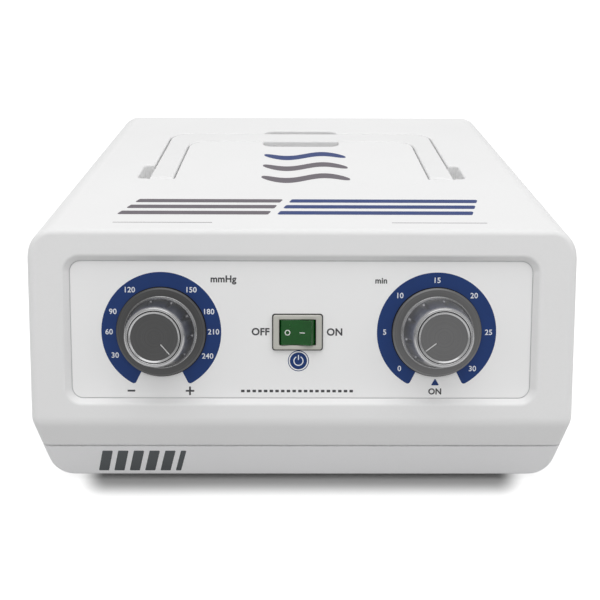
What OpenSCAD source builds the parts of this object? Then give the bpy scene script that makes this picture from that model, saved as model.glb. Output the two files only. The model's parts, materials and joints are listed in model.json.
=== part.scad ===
// Compression therapy pump: a mains air pump that fills the chambers of a sleeve in turn.
// X runs to the right as the user sees the front, Y to the back and Z up.
// The origin is on the ground, under the middle of the case.

/* [Case] */
// Width of the case at its widest line
case_w = 236.4; // [232:0.2:290]
// Depth of the case from the bend of the front to the rear wall
case_d = 237; // [214:1:290]
// Height of the case above the feet
case_h = 110; // [108:1:135]
// Height of the bottom tray
tray_h = 19.2; // [16:0.1:24]
// Height of the bend of the front above the underside of the tray
bend_h = 32.4; // [29:0.2:34]
// Lean of the front, in degrees
lean = 21.3; // [17:0.1:23]
// Inward slope of the walls under the bend, in degrees
under_slope = 8; // [4:1:10]
// Draft of the side walls above the bend, in degrees
side_draft = 0.1; // [0:0.1:2]
// Radius along the top side edges
top_r = 12; // [8:1:14]
// Radius along the bottom side edges
bottom_r = 12; // [8:1:14]
// Radius of the bend of the front
bend_r = 20; // [12:1:24]
// Wall of the case
wall = 3; // [2.4:0.1:3.4]
// Dark joint between the top case and the tray
seam_gap = 0.5; // [0.3:0.1:0.8]
// Height that the feet stand out under the tray
foot_h = 3; // [2:0.5:6]
// Radius of a foot
foot_r = 8; // [6:0.5:10]

/* [Front panel] */
// Width of the opening for the panel
panel_w = 201; // [190:1:204]
// Height of the opening for the panel, along the lean
panel_h = 60; // [58:0.5:63]
// Middle of the panel, along the lean from the top edge of the front
panel_drop = 43; // [41:0.1:44]
// Distance that the dials and the switch lie below the middle of the panel
dial_drop = 0.8; // [0:0.1:1.5]
// Corner radius of the opening
panel_r = 5; // [3:0.5:7]
// Thickness of the panel plate
panel_t = 2.5; // [2:0.1:3]
// Thickness of the printed overlay on the panel
overlay_t = 0.3; // [0.2:0.1:0.4]
// Distance between the two dials
dial_pitch = 119.2; // [112:0.1:124]
// Sideways shift of the dials from the middle of the panel
dial_shift = -1.5; // [-2:0.1:2]
// Sideways shift of the switch from the middle of the panel
switch_x = -2.2; // [-4:0.1:4]

/* [Knobs] */
// Radius of the knob skirt
skirt_r = 19.25; // [18:0.05:21]
// Radius of the knob grip at its foot
grip_r = 15.2; // [14:0.1:16.5]
// Height of a knob above its underside
knob_h = 17.4; // [13:0.1:18]
// Angle of the pressure pointer, clockwise from straight up
pressure_pointer = 139; // [-139:1:139]
// Angle of the timer pointer, clockwise from straight up
timer_pointer = -127; // [-180:1:135]
// Radius of the dial shafts
dial_shaft_r = 3; // [2.5:0.1:3.2]

/* [Switch] */
// Width of the switch bezel
bezel_w = 21; // [20:0.1:24]
// Height of the switch bezel
bezel_h = 15; // [14:0.1:17]
// Tilt of the rocker to either side, in degrees
rocker_tilt = 10; // [6:1:12]

/* [Handle] */
// Outer width of the folding handle
handle_w = 155; // [150:1:164]
// Width of a handle arm
arm_w = 12; // [10:0.5:14]
// Width of the crossbar, front to back
bar_w = 17; // [13:0.5:19]
// Thickness of the handle
handle_t = 8; // [7:0.5:10]
// Length of the handle from its front end to the back of the crossbar
handle_l = 89; // [80:1:96]
// Back of the crossbar, behind the top edge of the front
handle_back = 160.9; // [152:0.1:164]
// Gap around the handle in its well
handle_gap = 0.8; // [0.5:0.1:1.2]
// Width of the finger well under the crossbar
finger_w = 44; // [40:1:60]
// Depth of the finger well
finger_depth = 18; // [15:1:19]
// Radius of the handle pins
handle_pin_r = 2.5; // [2:0.1:3]

/* [Rear] */
// Pitch of the hose nipples along a row
nipple_pitch = 13; // [12:0.1:14]
// Distance between the two rows of hose nipples
nipple_rows = 14.5; // [13.5:0.1:16]
// Outer radius of a hose nipple
nipple_r = 3.5; // [3:0.1:4]
// Depth of the hose recess
hose_recess = 10; // [8:0.5:12]
// Middle of the mains inlet, from the middle of the case
inlet_x = 78; // [72:1:82]

/* [Air parts] */
// Outer radius of the air tank
tank_r = 16; // [13:0.5:17]
// Length of the air tank
tank_l = 80; // [70:1:84]
// Side of the square distributor blocks
block_w = 56; // [54:1:57]
// Outer radius of an air hose
hose_r = 3.5; // [3:0.1:3.6]

/* [Hidden] */
$fn = 48;

// A cut reaches this far past the face it opens
over = 1;
// Clearance of a part that is pushed into its seat, and of a shaft that turns in its hole
seat_gap = 0.02;
run_gap = 0.05;
// Clearance of a part that drops into a cut-out
drop_gap = 0.2;

// Levels
floor_z = foot_h + wall;
seam_z = foot_h + tray_h;
bend_z = foot_h + bend_h;
top_z = foot_h + case_h;
// The knobs and the hose nipples reach past the case, so it stands a little off the middle
front_y = 0.8 - case_d / 2;
rear_y = front_y + case_d;
edge_y = front_y + (top_z - bend_z) * tan(lean);

// Radii of the small edges, and the number of steps in a rounded corner
front_edge_r = 4;
rear_edge_r = 5;
foot_edge_r = 4;
corner_steps = 6;

// Screws that hold the tray to the top case
boss_x = 100;
front_boss_y = edge_y + 18;
rear_boss_y = rear_y - 14;
boss_r = 4.5;
case_screw_r = 1.5;
case_screw_head_r = 3;
case_screw_sink = 4;
case_screw_l = 28;

// Levels in the panel's own frame, outward from the leaning face
panel_face = -wall - seat_gap;
panel_back = panel_face - panel_t;
overlay_face = panel_face + overlay_t;
panel_lip = 4;
panel_post_r = 3.5;
panel_post_gap = 0.3;
panel_post_x = panel_w / 2 + panel_lip;
panel_post_v = panel_h / 2 + panel_lip;
panel_screw_r = 1.2;
panel_screw_head_r = 5;
panel_screw_head_t = 1.8;
panel_screw_l = 4;

// Dials
pressure_x = dial_shift - dial_pitch / 2;
timer_x = dial_shift + dial_pitch / 2;
bush_r = 4.9;
bush_top = -0.2;
nut_r = 8;
nut_t = 2.3;
knob_z = overlay_face + 0.5;
knob_top = knob_z + knob_h;
core_r = 12;
core_lift = 0.2;
core_top = knob_z + 12;
nut_room_r = 9.2;
nut_room_top = 2;
shaft_top = nut_room_top + 7.5;
cap_r = 10.8;
cap_t = 0.8;
notch_count = 10;
notch_r = 1.1;
notch_turn = 27;
pointer_w = 0.9;
pointer_depth = 0.4;

// Switch
switch_body_w = bezel_w - 2;
switch_body_h = bezel_h - 2.2;
bezel_t = 2;
bezel_top = overlay_face + bezel_t;
rocker_h = bezel_h - 4.2;
rocker_gap = 0.2;
rocker_r = 7.7;
rocker_pivot = -3.5;
rocker_end_x = 6.6;
rocker_end_w = 3.9;
rocker_dip_w = 2.6;
rocker_base = -4;
rocker_pin_r = 1.2;
rocker_pin_in = 0.5;
switch_room_floor = -9;
switch_back = -16;
blade_w = 4.75;
blade_t = 0.8;
blade_l = 8;

// Pressure regulator, in the panel's own frame
bonnet_r = 15;
bonnet_room_r = 12.3;
bonnet_room_top = panel_back - 3;
bonnet_bottom = -34;
regulator_block = 32;
regulator_bottom = -46;
regulator_mid = (bonnet_bottom + regulator_bottom) / 2;
collar_r = 5;
collar_t = 1.5;
stem_bottom = -22;
plunger_r = 12;
plunger_top = -18;
plunger_t = 3;
spring_r = 8.5;
spring_wire = 2;
diaphragm_t = 1;
port_r = 2.5;
port_bore_r = 1.5;
port_l = 4;

// Timer, in the panel's own frame
timer_w = 40;
timer_h = 44;
timer_bottom = -31;
timer_shaft_bottom = -24;

// Handle
handle_back_y = edge_y + handle_back;
handle_front_y = handle_back_y - handle_l;
handle_pivot_y = handle_front_y + handle_t / 2;
handle_pivot_z = top_z - handle_t / 2;
handle_corner_r = 12;
well_floor_z = top_z - handle_t - 0.3;
well_wall = 2.5;
pocket_w = 6;
pocket_l = 22.5;
finger_front_y = handle_back_y - bar_w - 11.4;
finger_back_y = handle_back_y + 6.8;
finger_corner_r = 3;
pin_in = 13;
pin_out = 9.3;
pin_block_h = 12;

// Hose manifold and the parts in line with it
manifold_x = -40;
manifold_z = top_z - 51;
nipple_count = 6;
nipple_l = 12;
nipple_bore_r = 2;
tub_w = nipple_pitch * (nipple_count - 1) + 19;
tub_h = nipple_rows + 16.5;
tub_wall = 2.5;
tub_flange = 4;
tub_back_y = rear_y - hose_recess - 9;
line_r = 14;
line_nipple_l = 8;
line_hose_l = 24;
line_hose_wall = 1.5;
line_turns = [0:60:300];
block_front_y = tub_back_y - line_hose_l - 10;
block_t = 8;
cover_t = 14;
bracket_t = 2;
bracket_y = block_front_y - cover_t - bracket_t;
motor_r = 20;
motor_l = 17;
rotor_r = 21.5;
rotor_room_r = 22;
rotor_t = 5.4;
rotor_gap = 0.3;
block_screw = 23.5;
block_screw_r = 1.5;
block_screw_head_r = 2.6;
block_screw_head_t = 1.8;
drive_r = 2.5;

// Mains inlet
inlet_z = top_z - 53;
inlet_w = 27;
inlet_h = 47;
inlet_flange = 1.6;
inlet_flange_t = 3;
inlet_l = 30;
socket_w = 24;
socket_h = 16.4;
socket_up = 11;
socket_depth = 16;
contact_x = 7;
contact_down = 2;
contact_w = 2;
contact_h = 4;
contact_l = 39;
drawer_w = 20;
drawer_h = 10;
drawer_down = 14;
drawer_l = 24;
drawer_front_t = 2.5;
fuse_r = 2.5;
fuse_l = 20;
fuse_x = 4.6;

// Compressor
comp_x = -15;
comp_y = -8;
mount_h = 8;
mount_r = 7;
mount_x = 36;
mount_y = 22;
mount_stud_r = 2.1;
frame_z = floor_z + mount_h;
frame_l = 92;
frame_w = 60;
frame_t = 3;
end_t = 4;
end_h = 56;
comp_z = frame_z + frame_t + 28;
end_hole_r = 18;
core_l = 44;
core_h = 44;
core_gap_y = 6;
core_leg = 8;
core_back = 6;
core_depth = 20;
coil_l = 52;
coil_h = 26;
coil_t = 12;
coil_wire_x = 24;
rod_r = 3;
magnet = [28, 10, 40];
membrane_t = 1.6;
membrane_w = 48;
head_l = 22.4;
head_screw = 19;
head_room_r = 20;
head_room_l = 6.4;
head_x = frame_l / 2 + membrane_t;
filter_r = 10;
filter_l = 8;
outlet_x = head_x + 12.4;

// Tank
tank_x = 86;
tank_front_y = -45;
tank_z = floor_z + tank_r + 5;
saddle_ys = [15, 65];
tank_ports = [10, 50, 70];

// Terminal block
terminal_x = 78;
terminal_y = 60;
terminal_size = [40, 16, 14];

// Routes of the hoses and wires, as points from end to end
reg_y = edge_y - (panel_drop + dial_drop) * sin(lean) - regulator_mid * cos(lean);
reg_z = top_z - (panel_drop + dial_drop) * cos(lean) + regulator_mid * sin(lean);
reg_x = regulator_block / 2 + port_l;
switch_tip = switch_back - blade_l;
timer_tip = timer_bottom - blade_l;
head_top = comp_z + membrane_w / 2 + port_l;
tank_top = tank_z + tank_r + port_l;
right_head_hose = [
    [comp_x + outlet_x, comp_y, head_top], [comp_x + outlet_x, comp_y, head_top + 5],
    [comp_x + outlet_x + 5, comp_y - 4, head_top + 11], [64, -21, head_top + 11], [79, -31, 76],
    [tank_x, tank_front_y + tank_ports[0], 64], [tank_x, tank_front_y + tank_ports[0], tank_top]
];
left_head_hose = [
    [comp_x - outlet_x, comp_y, head_top], [comp_x - outlet_x, comp_y, head_top + 6],
    [-66, -2, head_top + 12], [-52, 6, head_top + 13], [60, 6, head_top + 13], [77, 5, 80],
    [tank_x, tank_front_y + tank_ports[1], 68], [tank_x, tank_front_y + tank_ports[1], tank_top]
];
regulator_hose = [
    [tank_x, tank_front_y + tank_ports[2], tank_top], [tank_x, tank_front_y + tank_ports[2], 80],
    [82, 24, well_floor_z - 13.7], [73, 20, well_floor_z - 8.7], [58, 14, well_floor_z - 5.7], [30, 4, 101], [0, -22, 100], [-16, -42, 90],
    [-24, reg_y + 2, 72], [pressure_x + reg_x + 9, reg_y, reg_z], [pressure_x + reg_x, reg_y, reg_z]
];
supply_hose = [
    [pressure_x - reg_x, reg_y, reg_z], [pressure_x - reg_x - 7, reg_y, reg_z], [-99, -47, 68],
    [-103, -30, 76], [-103, 30, 78], [-96, block_front_y - 12, 72],
    [-83, block_front_y + block_t / 2, manifold_z],
    [manifold_x - block_w / 2 - port_l, block_front_y + block_t / 2, manifold_z]
];
inlet_wire = [
    [inlet_x, rear_y - contact_l, inlet_z + 12], [inlet_x, 66, inlet_z + 12],
    [inlet_x, terminal_y + 1, inlet_z], [terminal_x, terminal_y, 40],
    [terminal_x, terminal_y, floor_z + terminal_size[2]]
];
switch_wire = [
    [66.5, terminal_y - terminal_size[1] / 2, 12], [66.5, 42, 12], [66.5, -34, 12],
    [58, -50, 18], [20, -54, 38], [4, -60, 57],
    [switch_x, panel_y(switch_tip - 5), panel_z(switch_tip - 5)],
    [switch_x, panel_y(switch_tip), panel_z(switch_tip)]
];
timer_wire = [
    [66.5, terminal_y - terminal_size[1] / 2, 17.5], [66.5, 44, 17.5], [66.5, -34, 18.5],
    [64, -44, 28], [timer_x, panel_y(timer_tip - 8), panel_z(timer_tip - 8)],
    [timer_x, panel_y(timer_tip), panel_z(timer_tip)]
];
coil_wire = [
    [60, terminal_y - terminal_size[1] / 2, 12], [60, 45, 12], [42, 38, 20], [16, 32, 38],
    [comp_x + coil_wire_x, 26, comp_z], [comp_x + coil_wire_x, comp_y + core_gap_y + over + coil_t, comp_z]
];
motor_wire = [
    [terminal_x - terminal_size[0] / 2, terminal_y, 13], [50, terminal_y, 13], [30, 58, 14],
    [0, 46, 24], [-8, 37, 48], [-13, bracket_y - 9, manifold_z], [manifold_x + motor_r, bracket_y - 9, manifold_z]
];
wire_r = 1.8;

// Place of a point in the panel's frame that lies at the level w behind the dials
function panel_y(w) = edge_y - (panel_drop + dial_drop) * sin(lean) - w * cos(lean);
function panel_z(w) = top_z - (panel_drop + dial_drop) * cos(lean) + w * sin(lean);

// Points of an arc about c, from angle a to angle b
function arc(c, r, a, b, steps) =
    [for (i = [0:steps]) let (t = a + (b - a) * i / steps) [c[0] + r * cos(t), c[1] + r * sin(t)]];

// Half width of the case at the height z
function side_x(z) = z < bend_z
    ? case_w / 2 - (bend_z - z) * tan(under_slope)
    : case_w / 2 - (z - bend_z) * tan(side_draft);

// Outline of the case seen from the front, drawn in by the distance i
function front_outline(i) =
    let (
        low_r = bottom_r - i,
        high_r = top_r - i,
        low_z = foot_h + i + low_r,
        high_z = top_z - i - high_r,
        right = concat(
            arc([side_x(low_z) - i - low_r, low_z], low_r, -90, -under_slope, corner_steps),
            [[case_w / 2 - i, bend_z]],
            arc([side_x(high_z) - i - high_r, high_z], high_r, side_draft, 90, corner_steps)
        ),
        last = len(right) - 1
    )
    concat(right, [for (k = [0:last]) [-right[last - k][0], right[last - k][1]]]);

// Centre of a round of radius r in the corner p, whose two walls face the angles a and b
function round_centre(p, r, a, b) =
    let (mid = (a + b) / 2, reach = r / cos((a - b) / 2)) [p[0] - reach * cos(mid), p[1] - reach * sin(mid)];

// Outline of the case seen from its right side, drawn in by the distance i
function side_outline(i) =
    let (
        slope_in = bend_h * tan(under_slope),
        low = 180 + under_slope,
        high = 180 - lean,
        foot_front = round_centre([front_y + slope_in, foot_h], foot_edge_r, 270, low),
        bend = round_centre([front_y, bend_z], bend_r, low, high),
        brow = round_centre([edge_y, top_z], front_edge_r, high, 90),
        heel = round_centre([rear_y - slope_in, foot_h], foot_edge_r, -under_slope, -90)
    )
    concat(
        arc(foot_front, foot_edge_r - i, 270, low, 3),
        arc(bend, bend_r - i, low, high, 5),
        arc(brow, front_edge_r - i, high, 90, 4),
        arc([rear_y - rear_edge_r, top_z - rear_edge_r], rear_edge_r - i, 90, 0, 4),
        [[rear_y - i, bend_z]],
        arc(heel, foot_edge_r - i, -under_slope, -90, 3)
    );

// Rectangle from -x to x and from y0 to y1 whose two back corners are round
function back_round(x, y0, y1, r) = concat(
    [[-x, y0], [x, y0]],
    arc([x - r, y1 - r], r, 0, 90, corner_steps),
    arc([r - x, y1 - r], r, 90, 180, corner_steps)
);

// Rectangle about the origin with four round corners
function round_plate(w, h, r) = concat(
    arc([w / 2 - r, h / 2 - r], r, 0, 90, 5),
    arc([r - w / 2, h / 2 - r], r, 90, 180, 5),
    arc([r - w / 2, r - h / 2], r, 180, 270, 5),
    arc([w / 2 - r, r - h / 2], r, 270, 360, 5)
);

// A vector of length 1 along v
function unit(v) = v / norm(v);

// Closed tube along the points of a route, with eight sides and a ring at each point
module tube(route, r) {
    sides = 8;
    last = len(route) - 1;
    along = [for (i = [0:last]) unit(route[min(i + 1, last)] - route[max(i - 1, 0)])];
    up = [for (d = along) abs(d[2]) > 0.8 ? [0, 1, 0] : [0, 0, 1]];
    points = [
        for (i = [0:last])
            let (a = unit(cross(up[i], along[i])), b = cross(along[i], a))
                for (k = [0:sides - 1]) route[i] + r * (cos(360 * k / sides) * a + sin(360 * k / sides) * b)
    ];
    walls = [
        for (i = [0:last - 1], k = [0:sides - 1])
            let (n = (k + 1) % sides)
                [i * sides + k, i * sides + n, (i + 1) * sides + n, (i + 1) * sides + k]
    ];
    polyhedron(points, concat(
        [[for (k = [sides - 1:-1:0]) k]],
        walls,
        [[for (k = [0:sides - 1]) last * sides + k]]
    ), convexity = 6);
}

// Frame of the leaning front: x to the right, y up the lean, z outward, origin on the top edge
module panel_frame() {
    translate([0, edge_y, top_z]) rotate([90 - lean, 0, 0]) children();
}

// Frame about the middle of the panel
module at_panel() {
    panel_frame() translate([0, -panel_drop, 0]) children();
}

// Frame of the panel at the height of the dials, shifted to x
module at_dial(x) {
    panel_frame() translate([x, -panel_drop - dial_drop, 0]) children();
}

// Cylinder along Z between two levels
module post(r, low, high) {
    translate([0, 0, low]) cylinder(r = r, h = high - low);
}

// Block about the Z axis between two levels
module slab(w, h, low, high) {
    translate([-w / 2, -h / 2, low]) cube([w, h, high - low]);
}

// Cylinder along Y from y0 to y1
module bar_y(r, y0, y1) {
    translate([0, y1, 0]) rotate([90, 0, 0]) cylinder(r = r, h = y1 - y0);
}

// Cylinder along X from x0 to x1
module bar_x(r, x0, x1) {
    translate([x0, 0, 0]) rotate([0, 90, 0]) cylinder(r = r, h = x1 - x0);
}

// Four copies, mirrored in X and in Y
module four(x, y) {
    for (sx = [-1, 1], sy = [-1, 1]) translate([sx * x, sy * y, 0]) children();
}

// Places of the four case screws
module case_screw_places() {
    for (x = [-boss_x, boss_x], y = [front_boss_y, rear_boss_y]) translate([x, y, 0]) children();
}

// Places of the four feet
module foot_places() {
    for (x = [-88, 88], y = [front_y + 26, rear_y - 26]) translate([x, y, 0]) children();
}

// Solid body of the case, drawn in by the distance i
module case_block(i) {
    intersection() {
        rotate([90, 0, 0]) linear_extrude(2 * case_d, center = true) polygon(front_outline(i));
        rotate([90, 0, 90]) linear_extrude(2 * case_w, center = true) polygon(side_outline(i));
    }
}

// Plan of the handle, made wider all round by g
module handle_plan(g) {
    difference() {
        polygon(back_round(handle_w / 2 + g, handle_front_y - g, handle_back_y + g, handle_corner_r + g));
        polygon(back_round(
            handle_w / 2 - arm_w - g, handle_front_y - g - over, handle_back_y - bar_w - g, handle_corner_r - 4
        ));
    }
}

// Plan of one flex pocket beside the front end of a handle arm
module pocket_plan(g) {
    for (s = [-1, 1])
        translate([s * (handle_w / 2 + pocket_w / 2), 0])
            polygon(back_round(
                pocket_w / 2 + g, handle_front_y - g, handle_front_y + pocket_l + g, 2.5 + g
            ));
}

// Room that the handle, its pockets and the fingers take out of the top
module handle_room(g, drop) {
    translate([0, 0, well_floor_z - drop]) linear_extrude(top_z - well_floor_z + drop + over) {
        handle_plan(handle_gap + g);
        pocket_plan(g);
    }
    translate([0, (finger_front_y + finger_back_y) / 2, top_z - finger_depth - drop])
        linear_extrude(finger_depth + drop + over)
            polygon(round_plate(finger_w + 2 * g, finger_back_y - finger_front_y + 2 * g, finger_corner_r + g));
}

module top_case() {
    color("whitesmoke") difference() {
        union() {
            difference() {
                case_block(0);
                case_block(wall);
            }
            intersection() {
                case_block(0);
                union() {
                    handle_room(well_wall, well_wall);
                    for (s = [-1, 1])
                        translate([
                            s * (handle_w / 2 - arm_w - handle_gap - pin_in / 2), handle_pivot_y,
                            (well_floor_z - well_wall + top_z) / 2
                        ]) cube([pin_in, pin_block_h, top_z - well_floor_z + well_wall], center = true);
                    case_screw_places() post(boss_r, seam_z, top_z);
                    at_panel() four(panel_post_x, panel_post_v) post(panel_post_r, panel_back, -wall / 2);
                }
            }
        }
        translate([-case_w, -case_d, -over]) cube([2 * case_w, 2 * case_d, seam_z + over]);
        handle_room(0, 0);
        for (s = [-1, 1]) mirror([s < 0 ? 1 : 0, 0, 0]) translate([0, handle_pivot_y, handle_pivot_z])
            bar_x(handle_pin_r + seat_gap, handle_w / 2 - arm_w - pin_in, handle_w / 2 - arm_w + over);
        case_screw_places() post(case_screw_r + seat_gap, seam_z - over, seam_z + case_screw_l);
        at_panel() {
            translate([0, 0, panel_face - over]) linear_extrude(wall + 2 * over)
                polygon(round_plate(panel_w, panel_h, panel_r));
            hull() {
                translate([0, 0, panel_face]) linear_extrude(0.01)
                    polygon(round_plate(panel_w, panel_h, panel_r));
                translate([0, 0, 0.05]) linear_extrude(0.01)
                    polygon(round_plate(panel_w + wall * 2, panel_h + wall * 2, panel_r + wall));
            }
            four(panel_post_x, panel_post_v) post(panel_screw_r + seat_gap, panel_back - over, panel_back + panel_screw_l);
        }
        translate([manifold_x, rear_y, manifold_z])
            cube([tub_w + 2 * (tub_wall + drop_gap), 4 * wall, tub_h + 2 * (tub_wall + drop_gap)], center = true);
        translate([inlet_x, rear_y, inlet_z])
            cube([inlet_w + 2 * drop_gap, 4 * wall, inlet_h + 2 * drop_gap], center = true);
    }
}

module bottom_tray() {
    lip_t = 1.2;
    lip_gap = 0.2;
    lip_h = 3;
    color("gainsboro") difference() {
        union() {
            intersection() {
                difference() {
                    case_block(0);
                    case_block(wall);
                }
                translate([-case_w, -case_d, 0]) cube([2 * case_w, 2 * case_d, seam_z - seam_gap]);
            }
            intersection() {
                difference() {
                    case_block(wall + lip_gap);
                    case_block(wall + lip_gap + lip_t);
                }
                translate([-case_w, -case_d, seam_z - seam_gap - 3])
                    cube([2 * case_w, 2 * case_d, seam_gap + 3 + lip_h]);
            }
            intersection() {
                difference() {
                    case_block(wall - over / 2);
                    case_block(wall + lip_gap + lip_t);
                }
                translate([-case_w, -case_d, seam_z - seam_gap - 3]) cube([2 * case_w, 2 * case_d, 3]);
            }
            case_screw_places() post(boss_r, foot_h + wall / 2, seam_z);
            for (y = saddle_ys)
                translate([tank_x - 14, tank_front_y + y - 4, foot_h + wall / 2])
                    cube([28, 8, tank_z - tank_r / 2 - foot_h - wall / 2]);
        }
        case_screw_places() {
            post(case_screw_r + 0.2, foot_h - over, seam_z + over);
            post(case_screw_head_r + 0.2, foot_h - over, foot_h + case_screw_sink);
        }
        foot_places() post(2.5, foot_h - over, floor_z + over);
        translate([tank_x, tank_front_y - over, tank_z]) bar_y(tank_r + 0.2, 0, tank_l + 2 * over);
        for (i = [-4:4]) translate([comp_x + i * 9 - 1.5, comp_y - 15, foot_h - over]) cube([3, 30, wall + 2 * over]);
    }
}

module rubber_feet() {
    color("dimgray") foot_places() {
        post(foot_r, 0, foot_h);
        post(2.5 - seat_gap, foot_h - over, floor_z);
        post(3.4, floor_z, floor_z + 2);
    }
}

module case_screws() {
    head_z = foot_h + case_screw_sink;
    color("silver") case_screw_places() {
        post(case_screw_head_r, head_z - 2.2, head_z);
        post(case_screw_r, head_z - over, seam_z + case_screw_l - 4);
    }
}

// Holes that the panel plate and its overlay share
module panel_holes() {
    for (x = [pressure_x, timer_x])
        translate([x, -dial_drop, 0]) post(bush_r + drop_gap, panel_back - over, over);
    translate([switch_x, -dial_drop, 0])
        slab(switch_body_w + drop_gap, switch_body_h + drop_gap, panel_back - over, over);
}

module front_panel() {
    color("gainsboro") at_panel() difference() {
        slab(panel_w + 2 * panel_lip, panel_h + 2 * panel_lip, panel_back, panel_face);
        panel_holes();
        four(panel_post_x, panel_post_v) post(panel_post_r + panel_post_gap, panel_back - over, panel_face + over);
    }
}

module panel_overlay() {
    edge = 0.3;
    color("lightgray") at_panel() difference() {
        translate([0, 0, panel_face]) linear_extrude(overlay_t)
            polygon(round_plate(panel_w - 2 * edge, panel_h - 2 * edge, panel_r - edge));
        panel_holes();
    }
}

module panel_screws() {
    color("silver") at_panel() four(panel_post_x, panel_post_v) {
        post(panel_screw_head_r, panel_back - panel_screw_head_t, panel_back);
        post(panel_screw_r, panel_back - over, panel_back + panel_screw_l - 0.2);
    }
}

module handle() {
    mid_z = handle_pivot_z;
    half = handle_t / 2;
    back_r = 3;
    side = concat(
        arc([handle_pivot_y, mid_z], half, 90, 270, 10),
        arc([handle_back_y - back_r, mid_z - half + back_r], back_r, -90, 0, 4),
        [[handle_back_y, top_z]]
    );
    color("whitesmoke") difference() {
        intersection() {
            translate([0, 0, top_z - handle_t]) linear_extrude(handle_t) handle_plan(0);
            rotate([90, 0, 90]) linear_extrude(2 * handle_w, center = true) polygon(side);
        }
        for (s = [0, 1]) mirror([s, 0, 0]) translate([0, handle_pivot_y, handle_pivot_z])
            bar_x(handle_pin_r + run_gap, handle_w / 2 - arm_w - over, handle_w / 2 - arm_w + pin_out + 0.2);
    }
}

module handle_pins() {
    color("silver") for (s = [0, 1]) mirror([s, 0, 0]) translate([0, handle_pivot_y, handle_pivot_z])
        bar_x(handle_pin_r, handle_w / 2 - arm_w - pin_in + 0.2, handle_w / 2 - arm_w + pin_out);
}

// Aluminium shell of a knob about its own axis
module knob_shell(pointer) {
    rim = skirt_r - 1.2;
    face_r = grip_r - 2.6;
    difference() {
        rotate_extrude() polygon([
            [0, knob_z], [skirt_r, knob_z], [skirt_r, knob_z + 1.6], [rim, knob_z + 2.8],
            [grip_r + 0.8, knob_z + 3.2], [grip_r, knob_z + 4.2], [grip_r - 0.9, knob_top - 2],
            [face_r, knob_top], [0, knob_top]
        ]);
        post(core_r + seat_gap, knob_z - over, core_top + seat_gap);
        post(cap_r + seat_gap, knob_top - cap_t, knob_top + over);
        for (i = [0:notch_count - 1]) rotate(90 - pointer - notch_turn + i * 360 / notch_count)
            translate([grip_r - 0.1, 0, knob_z + 4.6]) cylinder(r = notch_r, h = 5.4);
    }
}

// Plastic core that holds the shaft of a knob
module knob_core() {
    difference() {
        post(core_r, knob_z + core_lift, core_top);
        post(nut_room_r, knob_z - over, nut_room_top);
        post(dial_shaft_r + seat_gap, nut_room_top - over, shaft_top + 0.2);
    }
}

// Face disc of a knob, with its pointer line at the angle given clockwise from up
module knob_cap(pointer) {
    difference() {
        post(cap_r, knob_top - cap_t, knob_top);
        rotate(-pointer) translate([-pointer_w / 2, cap_r * 0.4, knob_top - pointer_depth])
            cube([pointer_w, cap_r, pointer_depth + over]);
    }
}

module pressure_knob() {
    color("gray") at_dial(pressure_x) knob_shell(pressure_pointer);
}

module pressure_knob_core() {
    color("darkslategray") at_dial(pressure_x) knob_core();
}

module pressure_knob_cap() {
    color("dimgray") at_dial(pressure_x) knob_cap(pressure_pointer);
}

module timer_knob() {
    color("gray") at_dial(timer_x) knob_shell(timer_pointer);
}

module timer_knob_core() {
    color("darkslategray") at_dial(timer_x) knob_core();
}

module timer_knob_cap() {
    color("dimgray") at_dial(timer_x) knob_cap(timer_pointer);
}

module dial_nuts() {
    color("silver") for (x = [pressure_x, timer_x]) at_dial(x) difference() {
        translate([0, 0, overlay_face]) cylinder(r = nut_r, h = nut_t, $fn = 6);
        post(bush_r + seat_gap, overlay_face - over, overlay_face + nut_t + over);
    }
}

module power_rocker() {
    right = asin(rocker_base / rocker_r);
    crown = 26;
    outline = concat(
        arc([0, 0], rocker_r, 180 - right, 180 - crown, 6),
        [[-rocker_end_x, rocker_end_w], [0, rocker_dip_w], [rocker_end_x, rocker_end_w]],
        arc([0, 0], rocker_r, crown, right, 6)
    );
    color("seagreen") at_dial(switch_x) translate([0, 0, rocker_pivot]) rotate([0, -rocker_tilt, 0])
        rotate([90, 0, 0]) {
            linear_extrude(rocker_h, center = true) polygon(outline);
            cylinder(r = rocker_pin_r, h = rocker_h + 2 * rocker_pin_in, center = true);
        }
}

module switch_body() {
    room_w = 2 * (rocker_r + rocker_gap);
    room_h = rocker_h + 2 * rocker_gap;
    color("darkgray") at_dial(switch_x) difference() {
        union() {
            slab(bezel_w, bezel_h, overlay_face, bezel_top);
            slab(switch_body_w, switch_body_h, switch_back, overlay_face);
        }
        slab(room_w, room_h, switch_room_floor, bezel_top + over);
        translate([0, 0, rocker_pivot]) rotate([90, 0, 0])
            cylinder(r = rocker_pin_r + run_gap, h = rocker_h + 2 * (rocker_pin_in + 0.1), center = true);
    }
}

module switch_terminals() {
    color("silver") at_dial(switch_x) four(6, 3)
        slab(blade_t, blade_w, switch_back - blade_l, switch_back);
}

module regulator_body() {
    color("tan") at_dial(pressure_x) difference() {
        union() {
            post(bush_r, panel_back - over, bush_top);
            post(bonnet_r, bonnet_bottom, panel_back);
            slab(regulator_block, regulator_block, regulator_bottom, bonnet_bottom);
            translate([0, 0, regulator_mid]) bar_x(port_r, -reg_x, reg_x);
        }
        post(bonnet_room_r, bonnet_bottom, bonnet_room_top);
        post(dial_shaft_r + run_gap, bonnet_room_top - over, over);
        for (s = [0, 1]) mirror([s, 0, 0])
            translate([0, 0, regulator_mid]) bar_x(port_bore_r, regulator_block / 4, reg_x + over);
    }
}

module regulator_stem() {
    color("silver") at_dial(pressure_x) {
        post(dial_shaft_r, stem_bottom, shaft_top);
        post(collar_r, bonnet_room_top - 0.3 - collar_t, bonnet_room_top - 0.3);
    }
}

module regulator_plunger() {
    color("goldenrod") at_dial(pressure_x) difference() {
        post(plunger_r, plunger_top - plunger_t, plunger_top);
        post(dial_shaft_r + run_gap, plunger_top - plunger_t - over, plunger_top + over);
    }
}

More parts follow.
